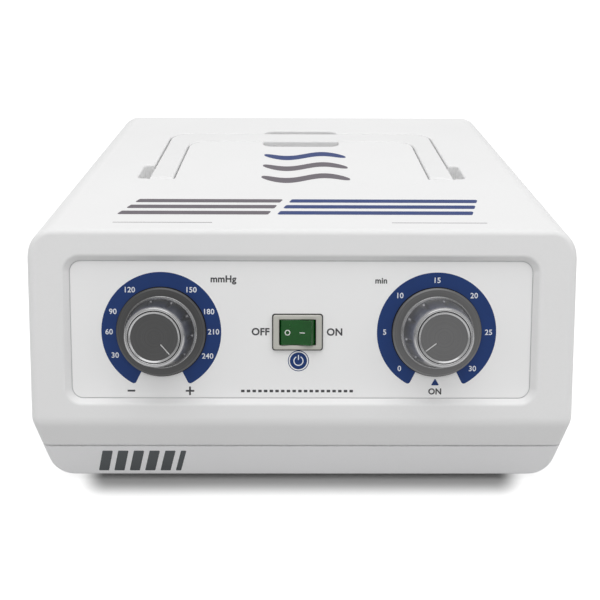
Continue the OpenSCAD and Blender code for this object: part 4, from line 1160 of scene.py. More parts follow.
@dataclass
class Panel:
    """Recessed control panel: printed foil with two dial scales, the switch marks and plain bars."""

    shop: Shop
    case: Case
    under: float = -3.02
    thick: float = 0.3
    film: float = 0.05
    ring_in: float = 18.2
    ring_out: float = 25.9
    figure_r: float = 22.55
    pressure_x: float = -61.1
    timer_x: float = 58.1
    switch_x: float = -2.2
    pressure: tuple[DialMark, ...] = (
        DialMark("30", -117), DialMark("60", -90), DialMark("90", -67), DialMark("120", -36),
        DialMark("150", 36), DialMark("180", 67), DialMark("210", 90), DialMark("240", 118),
    )
    timer: tuple[DialMark, ...] = (
        DialMark("0", -135), DialMark("5", -90), DialMark("10", -45), DialMark("15", 0),
        DialMark("20", 45), DialMark("25", 90), DialMark("30", 135),
    )
    foil: Satin = Satin("panel_foil", srgb(249, 249, 249), 0.42)
    navy: Ink = Ink("print_navy", srgb(22, 54, 112), 0.5)
    white: Ink = Ink("print_white", srgb(233, 236, 242), 0.5)
    grey: Ink = Ink("print_grey", srgb(74, 74, 76), 0.5)
    # Black ink used only for the painted shadow ring under each knob's skirt.
    black: Ink = Ink("skirt_shadow_black", srgb(18, 18, 20), 0.5)

    def __post_init__(self) -> None:
        """Takes the frames of the panel and of the dials, and the level of the foil's face."""
        self.place = self.case.panel
        self.dials = self.case.dials
        self.top = self.under + self.thick

    def plate(self) -> None:
        """Foil with a fine rounded rim and cut-outs for the dials and the switch."""
        levels = [(0.3, self.under), (0.3, self.top - 0.15), (0.34, self.top - 0.05), (0.45, self.top)]
        foil = prism(plate(199.6, 60, 5, 10), levels).placed(self.place.shifted(-0.5, 0))
        piece = self.shop.part("panel_foil", foil, [self.foil])
        tools = [
            self.shop.part("hole", prism(disc(5.1), [(0, -6), (0, 0)]).placed(self.dials.shifted(x, 0)))
            for x in (self.pressure_x, self.timer_x)
        ]
        cut = prism(plate(19.2, 13.0, 0.4), [(0, -6), (0, 0)]).placed(self.dials.shifted(self.switch_x, 0))
        tools.append(self.shop.part("cut", cut))
        self.shop.combined(piece, tools)
        self.shop.dressed(piece, "case", "panel_grey", ["panel_overlay"], 30)

    def printed(self, name: str, skin: Skin, ink: Ink) -> None:
        """Lays a thin print on the panel."""
        self.shop.dressed(self.shop.part(name, skin.placed(self.dials), [ink]), "case", "panel_grey", [], 60)

    def moved(self, skin: Skin, x: float, y: float) -> Skin:
        """A skin shifted within the panel's own frame."""
        return Skin(skin.points + np.array([x, y, 0.0]), skin.faces, skin.finish)

    def scales(self) -> None:
        """Dark ring round each dial, with its figures, and a black ring that paints the shadow under each knob's skirt.
        """
        for name, x, marks in (("pressure", self.pressure_x, self.pressure), ("timer", self.timer_x, self.timer)):
            band = ring_band(self.ring_in, self.ring_out, -153, 153, self.top, self.top + self.film, 1.2, 120)
            self.printed(name + "_scale", self.moved(band, x, 0), self.navy)
            # Painted shadow: a black ring on the panel where the knob's skirt shades it.
            line = ring_band(18.0, 19.6, 0, 360, self.top, self.top + 1.6 * self.film, 0, 120)
            self.printed(name + "_line", self.moved(line, x, 0), self.black)
            words = [
                (m.text, x + self.figure_r * sin(radians(m.angle)), self.figure_r * cos(radians(m.angle)), 2.35)
                for m in marks
            ]
            piece = self.shop.lettering(
                name + "_figures", words, self.dials, self.top + self.film * 0.6, self.film, self.white
            )
            self.shop.dressed(piece, "case", "panel_grey", [], 60)

    def signs(self) -> None:
        """Plus, minus, triangle, units and the switch words."""
        low, high = self.top, self.top + self.film
        bar = lambda w, h: prism(plate(w, h, 0.12), [(0, low), (0, high)])
        signs = self.moved(bar(3.3, 0.8), -74.5, -25.9) + self.moved(bar(3.7, 0.8), -49.0, -25.95)
        signs += self.moved(bar(0.8, 1.5), -49.0, -24.8) + self.moved(bar(0.8, 1.5), -49.0, -27.1)
        dashes = [self.moved(bar(1.5, 1.1), x, -26.0) for x in np.linspace(-26.0, 21.3, 20)]
        for dash in dashes:
            signs += dash
        self.printed("panel_signs", signs, self.grey)
        corners = np.array([[1.75, -1.5], [0.0, 1.6], [-1.75, -1.5]])
        outline = lambda inset: rounded_loop(corners, np.full(3, 0.25), inset, 4)
        arrow = prism(outline, [(0, low), (0, high)])
        self.printed("timer_arrow", self.moved(arrow, 57.85, -21.9), self.navy)
        words = [
            ("OFF", -18.2, 0.1, 3.1), ("ON", 13.85, 0.0, 3.1), ("mmHg", -34.1, 22.5, 2.9),
            ("min", 33.8, 22.3, 2.5), ("ON", 57.8, -26.1, 2.6),
        ]
        piece = self.shop.lettering("panel_words", words, self.dials, low, self.film, self.grey, 0.03)
        self.shop.dressed(piece, "case", "panel_grey", [], 60)

    def power_sign(self) -> None:
        """Round power sign under the switch: a disc, a thin outer ring, and the usual broken circle and stroke."""
        low, high = self.top, self.top + self.film
        badge = self.shop.part(
            "power_badge",
            (prism(disc(3.72, 64), [(0, low), (0, high)]) + ring_band(4.25, 4.57, 0, 360, low, high, 0, 96))
            .placed(self.dials.shifted(-1.76, -12.67)), [self.navy],
        )
        self.shop.dressed(badge, "case", "panel_grey", [], 60)
        low, high = low + self.film * 0.6, high + self.film * 0.6
        mark = ring_band(1.75, 2.2, 28, 332, low, high, 0.2, 48)
        mark += self.moved(prism(plate(0.45, 2.2, 0.2), [(0, low), (0, high)]), 0, 1.5)
        piece = self.shop.part("power_mark", mark.placed(self.dials.shifted(-1.76, -12.67)), [self.white])
        self.shop.dressed(piece, "case", "panel_grey", [], 60)

    def build(self) -> None:
        """Builds the foil, its prints, and both dials."""
        self.plate()
        self.scales()
        self.signs()
        self.power_sign()
        # Both knobs are the same part; the tone paints the timer knob lighter than the pressure knob, standing in for
        # the light falling on each.
        Dial(self.shop, self.dials.shifted(self.pressure_x, 0), "pressure_dial", "pressure_knob", 139, 0.9).build()
        Dial(self.shop, self.dials.shifted(self.timer_x, 0), "timer_dial", "timer_knob", -127, 1.4).build()


class Press(Enum):
    """Side of the rocker that is pressed in."""

    OFF = -1
    ON = 1


@dataclass
class Switch:
    """Lit rocker switch: a grey bezel and a clear green rocker with a circle and a stroke."""

    shop: Shop
    case: Case
    pressed: Press
    width: float = 21.0
    height: float = 15.0
    top: float = -0.72
    floor: float = -2.72
    room_w: float = 15.8
    room_h: float = 11.2
    pivot: float = -3.5
    tilt: float = 10.0
    rocker_r: float = 7.7
    rocker_base: float = 4.0
    rocker_half: float = 5.4
    rocker_edge: float = 0.4
    rocker_crown: float = 35.0
    dip: float = 2.62
    slope: tuple[float, float] = (5.6, 4.4)
    bezel: Moulded = Moulded("bezel_grey", srgb(196, 195, 187), 0.34)
    green: Tinted = Tinted("rocker_green", srgb(0, 84, 20), 0.16, 0.12)
    white: Ink = Ink("rocker_mark", srgb(238, 243, 238), 0.4)
    # Dark plastic of the housing, also used for the painted shadow sheet round the bezel.
    dark: Moulded = Moulded("switch_dark", srgb(26, 27, 26), 0.5)

    def __post_init__(self) -> None:
        """Takes the frame about the middle of the switch."""
        self.place = self.case.dials.shifted(-2.2, 0)

    def frame(self) -> None:
        """Bezel and housing as one shell of rounded rectangles, from the rear up, over the rim and down inside."""
        rim = [plate(self.width, self.height, 1.0), plate(self.room_w, self.room_h, 0.35)]
        body = plate(self.width - 2, self.height - 2.2, 0.4)
        rows = [(body(0), -16.0), (body(0), self.floor), (rim[0](0.05), self.floor), (rim[0](0), self.floor + 0.1),
                (rim[0](0), self.top - 0.55)]
        rows += [(rim[0](inset), level) for inset, level in crown(0.5, self.top, 4)[1:]]
        rows += [(rim[1](-0.35), self.top), (rim[1](-0.1), self.top - 0.1), (rim[1](0), self.top - 0.35),
                 (rim[1](0), -9.0)]
        rings = np.stack([np.column_stack([line, np.full(len(line), level)]) for line, level in rows])
        marks = [1] + [0] * (len(rows) - 3) + [1, 1, 1]
        piece = self.shop.part("switch_bezel", carried(rings, finish=marks).placed(self.place), [self.bezel, self.dark])
        self.shop.dressed(piece, "case", "bezel_grey", ["switch_body"], 32)
        # Painted shadow: a thin dark sheet just outside the bezel stands in for the shade in the gap between the bezel
        # and the panel.
        rim_shadow_block = prism(plate(self.width + 1.0, self.height + 1.0, 1.2), [(0, self.floor), (0, self.floor + 0.3)])
        rim_shadow_sheet = self.shop.part("switch_rim_shadow", rim_shadow_block.placed(self.place.shifted(0, -0.05)), [self.dark])
        inner = prism(plate(self.width - 1, self.height - 1, 0.5), [(0, -6), (0, 0)])
        hole = self.shop.part("hole", inner.placed(self.place))
        self.shop.combined(rim_shadow_sheet, [hole])
        self.shop.dressed(rim_shadow_sheet, "case", "black_plastic", [], 40)

    def rocker(self) -> None:
        """Rocker: its outline in the tilting plane, carried along the pivot line and drawn in at both ends.

        The outline is drawn in by r * (1 - cos t) while the ring moves outward by r * sin t, which rounds the edges.
        """
        reach, high = self.slope
        right = np.degrees(np.arcsin(-self.rocker_base / self.rocker_r))
        left = np.radians(np.linspace(180 - right, 180 - self.rocker_crown, 12))
        fore = np.radians(np.linspace(self.rocker_crown, right, 12))
        side = np.array([[2.9, 3.3], [reach, high], [reach + 0.5, high + 0.1]])
        dip = np.concatenate([side[::-1] * [-1, 1], [[0.0, self.dip]], side])
        arcs = [self.rocker_r * np.stack([np.cos(a), np.sin(a)], 1) for a in (left, fore)]
        line = np.concatenate([arcs[0], dip, arcs[1]])[::-1]
        t, half, edge = np.linspace(0, pi / 2, 5), self.rocker_half, self.rocker_edge
        ends = np.concatenate([-half + edge * (1 - np.sin(t[::-1])), half - edge * (1 - np.sin(t))])
        draw = np.concatenate([edge * (1 - np.cos(t[::-1])), edge * (1 - np.cos(t))])
        size = np.linalg.norm(line, axis=1)[:, None]
        rings = np.stack([
            np.column_stack([p[:, 0], np.full(len(p), -v), p[:, 1]])
            for v, d in zip(ends, draw) for p in [line * (1 - d / size)]
        ])
        way = self.tilted()
        piece = self.shop.part("rocker_lens", carried(rings).placed(way), [self.green])
        self.shop.dressed(piece, "rocker", "rocker_green", ["power_rocker"], 28)
        ring = ring_band(0.85, 1.2, 0, 360, 0, 0.05, 0, 48)
        stroke = prism(plate(2.5, 0.38, 0.12), [(0, 0), (0, 0.05)])
        slope = np.degrees(np.arctan2(high - self.dip, reach))
        marks = None
        for side, spot_x, skin in ((-1, 3.7, ring), (1, 2.7, stroke)):
            a = radians(slope) * side
            right_way = tuple(cos(a) * np.array(way.right) + sin(a) * np.array(way.out))
            out_way = tuple(cos(a) * np.array(way.out) - sin(a) * np.array(way.right))
            level = self.dip + spot_x * (high - self.dip) / reach
            spot = Place(tuple(way.world(np.array([side * spot_x, 0.0, level + 0.03]))), right_way, way.up, out_way)
            marks = skin.placed(spot) if marks is None else marks + skin.placed(spot)
        self.shop.dressed(self.shop.part("rocker_marks", marks, [self.white]), "rocker", "rocker_green", [], 60)

    def tilted(self) -> Place:
        """Frame of the rocker about its pivot, tilted towards the pressed side."""
        a = radians(self.tilt) * self.pressed.value
        base = self.place.shifted(0, 0, self.pivot)
        right, out = np.array(base.right), np.array(base.out)
        return Place(base.origin, tuple(cos(a) * right - sin(a) * out), base.up, tuple(cos(a) * out + sin(a) * right))

    def build(self) -> None:
        """Builds the bezel and the rocker."""
        self.frame()
        self.rocker()


@dataclass
class CasePrint:
    """Plain two-tone bars, thin lines and an air sign on the top, and plain slanted bars on the tray."""

    shop: Shop
    case: Case
    film: float = 0.05
    navy: Ink = Ink("bars_navy", srgb(47, 66, 121), 0.5)
    grey: Ink = Ink("bars_grey", srgb(108, 102, 109), 0.5)
    slate: Ink = Ink("bars_slate", srgb(80, 84, 86), 0.5)

    def __post_init__(self) -> None:
        """Takes the frame of the top face, from its front edge."""
        self.top = GROUND.shifted(0, self.case.edge_y, self.case.top_z)

    def bar(self, x0: float, x1: float, y: float, height: float, slant: float = 0.0, radius: float = 0.6) -> Skin:
        """A flat bar between two ends, leaning to the right by a slant."""
        corners = np.array([[x1, y], [x1 + slant, y + height], [x0 + slant, y + height], [x0, y]])
        outline = lambda inset: rounded_loop(corners, np.full(4, radius), inset, 4)
        return prism(outline, [(0, 0.0), (0, self.film)])

    def laid(self, name: str, skin: Skin, place: Place, ink: Ink, slot: str) -> None:
        """Puts a print on a face of the case."""
        self.shop.dressed(self.shop.part(name, skin.placed(place), [ink]), "case", slot, [], 60)

    def waves(self) -> tuple[Skin, Skin]:
        """Three waves of moving air: each is the band about y = a * sin(x) with round-looking tapered ends."""
        reach, rise, half = 22.5, 4.0, 4.1
        x = np.linspace(-reach, reach, 72)
        middle = rise * np.sin(x / reach * pi * 1.15)
        thick = half * np.sqrt(np.clip(1 - (np.abs(x) / (reach + 0.3)) ** 6, 0.02, 1))
        bands = [
            strip(np.stack([x + 2, middle + y - thick], 1), np.stack([x + 2, middle + y + thick], 1), 0.0, self.film)
            for y in (72.5, 92.5, 112.5)
        ]
        return bands[0] + bands[1], bands[2]

    def build(self) -> None:
        """Builds the prints of the top and of the tray."""
        left, right = None, None
        for y in (19.2, 27.2, 35.2):
            lean = (y - 19.2) * 0.32
            a = self.bar(-83 + lean, -15.5 + lean, y, 4.5, 1.5, 0.9)
            b = self.bar(-11.5 + lean, 76 + lean, y, 4.5, 1.5, 0.9)
            left, right = (a, b) if left is None else (left + a, right + b)
        lower, upper = self.waves()
        self.laid("top_bars_grey", left + lower, self.top, self.grey, "case_white")
        self.laid("top_bars_navy", right + upper, self.top, self.navy, "case_white")
        lines = self.bar(-82.6, -39.4, 9.0, 0.35, 0, 0.1) + self.bar(38.8, 80.4, 9.0, 0.35, 0, 0.1)
        self.laid("top_lines", lines, self.top, self.grey, "case_white")
        c = self.case
        a = radians(c.under)
        z = 12.2
        y = float(c.face_y(np.array([z]), False)[0])
        place = Place((0.0, y, z), (1.0, 0.0, 0.0), (0.0, -sin(a), cos(a)), (0.0, -cos(a), -sin(a)))
        slats = None
        for x, w in ((-92.5, 4.6), (-85.5, 4.6), (-78.5, 4.6), (-71.5, 4.6), (-64.5, 4.6), (-57.5, 2.4)):
            slat = self.bar(x, x + w, -6.2, 12.6, 3.4, 0.4)
            slats = slat if slats is None else slats + slat
        self.laid("tray_bars", slats, place, self.slate, "tray_grey")


@dataclass
class Rear:
    """Hose manifold with twelve barbed nipples, and the mains inlet with its socket and fuse drawer."""

    shop: Shop
    case: Case
    tub: tuple[float, float] = (84.0, 31.0)
    tub_wall: float = 2.5
    flange: float = 4.0
    recess: float = 10.0
    pitch: float = 13.0
    rows: float = 14.5
    nipple_l: float = 12.0
    bore: float = 2.0
    line_r: float = 14.0
    inlet: tuple[float, float] = (27.0, 47.0)
    inlet_l: float = 30.0
    face: float = 3.0
    socket: tuple[float, float] = (24.0, 16.4)
    socket_up: float = 11.0
    socket_depth: float = 16.0
    drawer: tuple[float, float] = (20.0, 10.0)
    drawer_down: float = 14.0
    drawer_l: float = 24.0
    drawer_front: float = 1.25
    manifold_at: tuple[float, float] = (-40.0, 62.0)
    inlet_at: tuple[float, float] = (78.0, 60.0)
    grey: Moulded = Moulded("manifold_grey", srgb(206, 206, 207), 0.46)
    black: Moulded = Moulded("inlet_black", srgb(38, 38, 39), 0.4, 1300, 0.00003)
    drawer_black: Moulded = Moulded("drawer_black", srgb(50, 50, 52), 0.44, 1500, 0.00003)

    def behind(self, at: tuple[float, float]) -> Place:
        """Frame on the rear face about a point: outward is to the back, and right is to the left of the front view."""
        return Place((at[0], self.case.rear_y, at[1]), (-1.0, 0.0, 0.0), (0.0, 0.0, 1.0), (0.0, 1.0, 0.0))

    def barbs(self) -> np.ndarray:
        """Profile of a nipple from its bore over two barbs down to its foot in the floor."""
        floor, tip = -self.recess, self.nipple_l - self.recess
        return rounded_line(
            [(self.bore, floor - 2), (self.bore, tip), (2.7, tip), (3.5, tip - 3.4), (2.9, tip - 3.6), (3.5, tip - 6.8),
             (2.9, tip - 7.0), (2.9, floor + 1.2), (3.9, floor), (3.9, floor - 2)],
            [0.1, 0.35, 0.12, 0.12, 0.12, 0.12, 0.3, 0.9], 3,
        )

    def manifold(self) -> None:
        """Builds the recessed tub with its flange, then joins the nipples and drills every bore."""
        w, h = self.tub
        outer = plate(w + 2 * self.tub_wall, h + 2 * self.tub_wall, 2.5)
        rim = plate(w + 2 * self.flange, h + 2 * self.flange, 3.0)
        room = plate(w, h, 2.5)
        back = -self.recess - 9.0
        rows = [(outer(0.4), back), (outer(0), back + 0.4), (outer(0), 0.0), (rim(0), 0.0), (rim(0), 1.1)]
        rows += [(rim(i), z) for i, z in crown(0.9, 2.0, 4)[1:]]
        rows += [(room(-i), 2.0 - z) for i, z in ((0.7, 0.0), (0.35, 0.12), (0.1, 0.4), (0.0, 0.8))]
        rows += [(room(0.0), -self.recess + 1.0), (room(0.3), -self.recess + 0.3), (room(1.0), -self.recess)]
        rings = np.stack([np.column_stack([line, np.full(len(line), z)]) for line, z in rows])
        place = self.behind(self.manifold_at)
        piece = self.shop.part("manifold_tub", carried(rings).placed(place), [self.grey])
        nipple = turned(self.barbs(), 28, closed=True)
        stub = turned(rounded_line([(1.5, 1), (1.5, -8), (2.2, -8), (2.6, -5.6), (2.1, -5.4), (2.1, 0), (2.1, 1)],
                                   [0.1, 0.2, 0.1, 0.1, 0.1], 3), 20, closed=True)
        spots = [((i - 2.5) * self.pitch, s * self.rows / 2) for i in range(6) for s in (-1, 1)]
        tubes = [nipple.placed(place.shifted(x, v)) for x, v in spots]
        ways = np.radians(np.arange(0, 360, 60))
        tubes += [stub.placed(place.shifted(self.line_r * cos(a), self.line_r * sin(a), back)) for a in ways]
        tools = [self.shop.part("nipple", skin, [self.grey]) for skin in tubes]
        self.shop.combined(piece, tools, "UNION")
        bore = prism(disc(self.bore - 0.02, 28), [(0, -self.recess - 3), (0, -self.recess + 1.5)])
        bores = [bore.placed(place.shifted(x, v)) for x, v in spots]
        self.shop.combined(piece, [self.shop.part("bore", skin, [self.grey]) for skin in bores])
        self.shop.dressed(piece, "case", "tray_grey", ["hose_manifold"], 36)

    def mains_inlet(self) -> None:
        """Builds the black housing: its round flange, the six-cornered socket, the pin slots and the drawer's room."""
        outer, rim = plate(*self.inlet, 0.8), plate(self.inlet[0] + 3.2, self.inlet[1] + 3.2, 2.2)
        rows = [(outer(0), -self.inlet_l), (outer(0), 0.0), (rim(0), 0.0), (rim(0), self.face - 1.0)]
        rows += [(rim(i), z) for i, z in crown(0.9, self.face, 4)[1:]]
        rings = np.stack([np.column_stack([line, np.full(len(line), z)]) for line, z in rows])
        place = self.behind(self.inlet_at)
        piece = self.shop.part("inlet_housing", carried(rings).placed(place), [self.black])
        w, h = self.socket
        cut = 4.6
        shape = np.array([[w / 2, -h / 2], [w / 2, h / 2 - cut], [w / 2 - cut, h / 2], [cut - w / 2, h / 2],
                          [-w / 2, h / 2 - cut], [-w / 2, -h / 2]])
        mouth = lambda inset: rounded_loop(shape, np.full(6, 1.0), inset, 4)
        inside = prism(mouth, [(0, self.face - self.socket_depth)] + lip(0.5, self.face, 4))
        room = plate(self.drawer[0] + 0.4, self.drawer[1] + 0.4, 0.5)
        tools = [
            self.shop.part("mouth", inside.placed(place.shifted(0, self.socket_up)), [self.black]),
            self.shop.part("room", prism(room, [(0, self.face - self.drawer_l - 0.2), (0, self.face + 1)])
                           .placed(place.shifted(0, -self.drawer_down)), [self.black]),
        ]
        for x, v in ((-7, -2), (0, 2), (7, -2)):
            slot = prism(plate(2.1, 4.1, 0.2), [(0, -self.inlet_l - 1), (0, 0)])
            tools.append(self.shop.part("slot", slot.placed(place.shifted(x, self.socket_up + v)), [self.black]))
        self.shop.combined(piece, tools)
        self.shop.dressed(piece, "case", "black_plastic", ["inlet_body"], 32)

    def fuse_drawer(self) -> None:
        """Builds the drawer: its front with a round edge and a nail slot, and its body with two open fuse rooms."""
        w, h = self.drawer
        body, front = plate(w, h, 0.5), plate(w + 2, h + 2, 1.0)
        end = self.face - self.drawer_l
        rows = [(body(0.3), end), (body(0), end + 0.3), (body(0), self.face), (front(0), self.face),
                (front(0), self.face + 0.7)]
        rows += [(front(i), z) for i, z in crown(0.5, self.face + self.drawer_front, 4)[1:]]
        rings = np.stack([np.column_stack([line, np.full(len(line), z)]) for line, z in rows])
        place = self.behind(self.inlet_at).shifted(0, -self.drawer_down)
        piece = self.shop.part("drawer_box", carried(rings).placed(place), [self.drawer_black])
        levels = [(0, self.face + 0.45), (0, self.face + 0.9)] + lip(0.3, self.face + self.drawer_front, 3)
        nail = prism(plate(8, 1.6, 0.7), levels)
        tools = [self.shop.part("nail", nail.placed(place.shifted(0, 3.2)), [self.drawer_black])]
        for x in (-4.6, 4.6):
            skin = prism(plate(5.5, 12, 0.4), [(0, end + 1.5), (0, self.face - 2.0)])
            tools.append(self.shop.part("fuse_room", skin.placed(place.shifted(x, 3.3)), [self.drawer_black]))
        self.shop.combined(piece, tools)
        self.shop.dressed(piece, "fuse_carrier", "black_plastic", ["fuse_drawer"], 32)

    def build(self) -> None:
        """Builds the manifold, the inlet and the drawer."""
        self.manifold()
        self.mains_inlet()
        self.fuse_drawer()


@dataclass
class Underside:
    """Soft feet pressed into the tray, and the four case screws with cross-cut heads."""

    shop: Shop
    case: Case
    foot_x: float = 88.0
    foot_in: float = 26.0
    foot_r: float = 8.0
    screw_x: float = 100.0
    head_r: float = 3.0
    sink: float = 4.0
    rubber: Rubber = Rubber("foot_rubber", srgb(62, 62, 64))
    zinc: Metal = Metal("screw_zinc", (0.62, 0.62, 0.64), 0.32)

    def feet(self) -> None:
        """Turns one profile round each foot's axis: a dished sole, a round edge, a neck and a bulb in the tray."""
        z = self.case.foot_z
        sole = rounded_line(
            [(0.02, 0.5), (4.6, 0.5), (5.6, 0.0), (self.foot_r - 0.1, 0.0), (self.foot_r, z), (2.45, z), (2.45, z + 3),
             (3.4, z + 3), (2.6, z + 5), (0.02, z + 5)],
            [0.6, 0.4, 1.0, 0.15, 0.1, 0.1, 0.3, 0.9], 4,
        )
        foot_skin, skin = turned(sole, 56), None
        for x in (-self.foot_x, self.foot_x):
            for y in (self.case.front_y + self.foot_in, self.case.rear_y - self.foot_in):
                one = foot_skin.placed(GROUND.shifted(x, y))
                skin = one if skin is None else skin + one
        piece = self.shop.part("feet", skin, [self.rubber])
        self.shop.dressed(piece, "case", "rubber_dark", ["rubber_feet"], 40)

    def screws(self) -> None:
        """Carries the profile of a pan head and its shank round each axis, then cuts a tapered cross into the head."""
        top = self.case.foot_z + self.sink
        low, deep, tip = top - 2.2, top - 0.6, self.case.seam_z + 24
        profile = rounded_line(
            [(0.02, low), (self.head_r - 0.2, low + 0.15), (self.head_r, top), (1.5, top), (1.5, tip - 0.5),
             (0.9, tip), (0.02, tip)], [1.2, 0.15, 0.1, 0.2, 0.2], 4,
        )
        screw, skin, cuts = turned(profile, 32), None, []
        for x in (-self.screw_x, self.screw_x):
            for y in (self.case.edge_y + 18, self.case.rear_y - 14):
                place = GROUND.shifted(x, y)
                one = screw.placed(place)
                skin = one if skin is None else skin + one
                cuts += [
                    prism(plate(w, h, 0.05), [(-0.15, low - 0.5), (0.1, deep)]).placed(place.turned(20 + x * 0.1))
                    for w, h in ((3.4, 0.7), (0.7, 3.4))
                ]
        piece = self.shop.part("case_screw_set", skin, [self.zinc])
        self.shop.combined(piece, [self.shop.part("cross", cut, [self.zinc]) for cut in cuts])
        self.shop.dressed(piece, "case", "zinc_steel", ["case_screws"], 36)

    def build(self) -> None:
        """Builds the feet and the screws."""
        self.feet()
        self.screws()


@dataclass(frozen=True)
class Winding:
    """Lacquered copper wire wound on a coil: fine straight turns with a dark gap between them."""

    name: str = "copper_winding"
    colour: tuple[float, float, float] = (0.62, 0.25, 0.09)
    turns: float = 900.0

    def made(self) -> bpy.types.Material:
        """Builds the material: a wave of the distance along X gives the turns."""
        b = Bench(self.name)
        wave = b.add("ShaderNodeTexWave", bands_direction="X")
        wave.inputs["Scale"].default_value = self.turns / 6.3
        wave.inputs["Distortion"].default_value = 0.6
        wave.inputs["Detail Scale"].default_value = 2.0
        b.link(b.where, wave.inputs["Vector"])
        gap = b.spread(wave.outputs["Fac"], 0.05, 0.45, 1, 0)
        base = b.mixed(b.spread(b.noise(160, 4), 0.35, 0.7, 0, 0.6), self.colour, shade(self.colour, 0.55))
        b.link(b.mixed(gap, base, shade(self.colour, 0.2)), b.shader.inputs["Base Color"])
        b.shader.inputs["Metallic"].default_value = 0.6
        b.link(b.spread(b.noise(300, 3), 0.3, 0.7, 0.28, 0.42), b.shader.inputs["Roughness"])
        b.link(b.bumped(wave.outputs["Fac"], 0.00015, 0.7), b.shader.inputs["Normal"])
        return b.material


@dataclass(frozen=True)
class Laminated:
    """Stack of lacquered steel sheets seen on edge: thin parallel lines and small rust-dark spots."""

    name: str = "laminated_steel"
    colour: tuple[float, float, float] = (0.22, 0.23, 0.25)

    def made(self) -> bpy.types.Material:
        """Builds the material: noise that is stretched within a sheet and quick across the stack."""
        b = Bench(self.name)
        sheets = b.noise(1, 2, 0.5, b.stretched((6, 6, 1900)))
        tone = b.mixed(b.spread(sheets, 0.35, 0.65, 0, 1), shade(self.colour, 0.55), shade(self.colour, 1.25))
        spots = b.spread(b.noise(220, 5, 0.7), 0.62, 0.75, 0, 0.6)
        b.link(b.mixed(spots, tone, (0.10, 0.05, 0.03)), b.shader.inputs["Base Color"])
        b.shader.inputs["Metallic"].default_value = 0.8
        b.link(b.spread(sheets, 0.3, 0.7, 0.38, 0.55), b.shader.inputs["Roughness"])
        b.link(b.bumped(sheets, 0.00008, 0.6), b.shader.inputs["Normal"])
        return b.material


@dataclass
class Inside:
    """Finishes of the parts that keep their shape from the frame, chosen by their slot."""

    shop: Shop
    by_slot: dict[str, object] = field(default_factory=lambda: {
        "case_white": CaseShell.white,
        "tray_grey": Rear.grey,
        "panel_grey": Moulded("panel_plate_grey", srgb(214, 215, 216), 0.45),
        "knob_metal": Metal("knob_alloy", (0.5, 0.5, 0.52), 0.3),
        "knob_cap_metal": Metal("cap_alloy", (0.3, 0.3, 0.31), 0.4),
        "black_plastic": Moulded("black_nylon", srgb(42, 42, 44), 0.45, 1300, 0.00003),
        "bezel_grey": Moulded("housing_grey", srgb(190, 189, 181), 0.4),
        "rocker_green": Tinted("rocker_green_inner", srgb(16, 128, 44), 0.16, 0.18),
        "rubber_dark": Rubber("rubber_black", srgb(52, 52, 54)),
        "zinc_steel": Metal("zinc_plate", (0.66, 0.67, 0.70), 0.33, stain=0.28),
        "brass": Metal("brass_rolled", (0.78, 0.57, 0.24), 0.28, stain=0.25),
        "copper_coil": Winding(),
        "core_steel": Laminated(),
        "alloy_cast": Metal("alloy_die_cast", (0.60, 0.61, 0.63), 0.48, (1.0, 0.9, 1.0), 0.22),
        "magnet_grey": Metal("magnet_nickel", (0.52, 0.53, 0.56), 0.24, stain=0.12),
        "filter_felt": Rubber("filter_felt", srgb(222, 212, 178), 0.95, 420, 0.0002),
        "ivory_plastic": Moulded("ivory_nylon", srgb(226, 220, 202), 0.42),
        "hose_clear": Tinted("hose_clear", srgb(206, 220, 228), 0.22, 0.55),
        "fuse_glass": Tinted("fuse_glass", srgb(236, 244, 244), 0.05, 0.9),
        "wire_sheath": Moulded("wire_sheath", srgb(96, 62, 40), 0.5, 900, 0.00004, 0.05),
    })

    def build(self) -> None:
        """Gives every frame node that stays its finish."""
        slots = {row["node"]: row["material_slot"] for row in frame["record"]["subparts"]}
        for node, slot in slots.items():
            piece = frame["nodes"].get(node)
            if piece is None:
                LOG.warning("%s: no such object", node)
                continue
            piece.data.materials.clear()
            piece.data.materials.append(self.shop.material(self.by_slot[slot]))
            LOG.info("%s: finish %s", node, self.by_slot[slot].name)


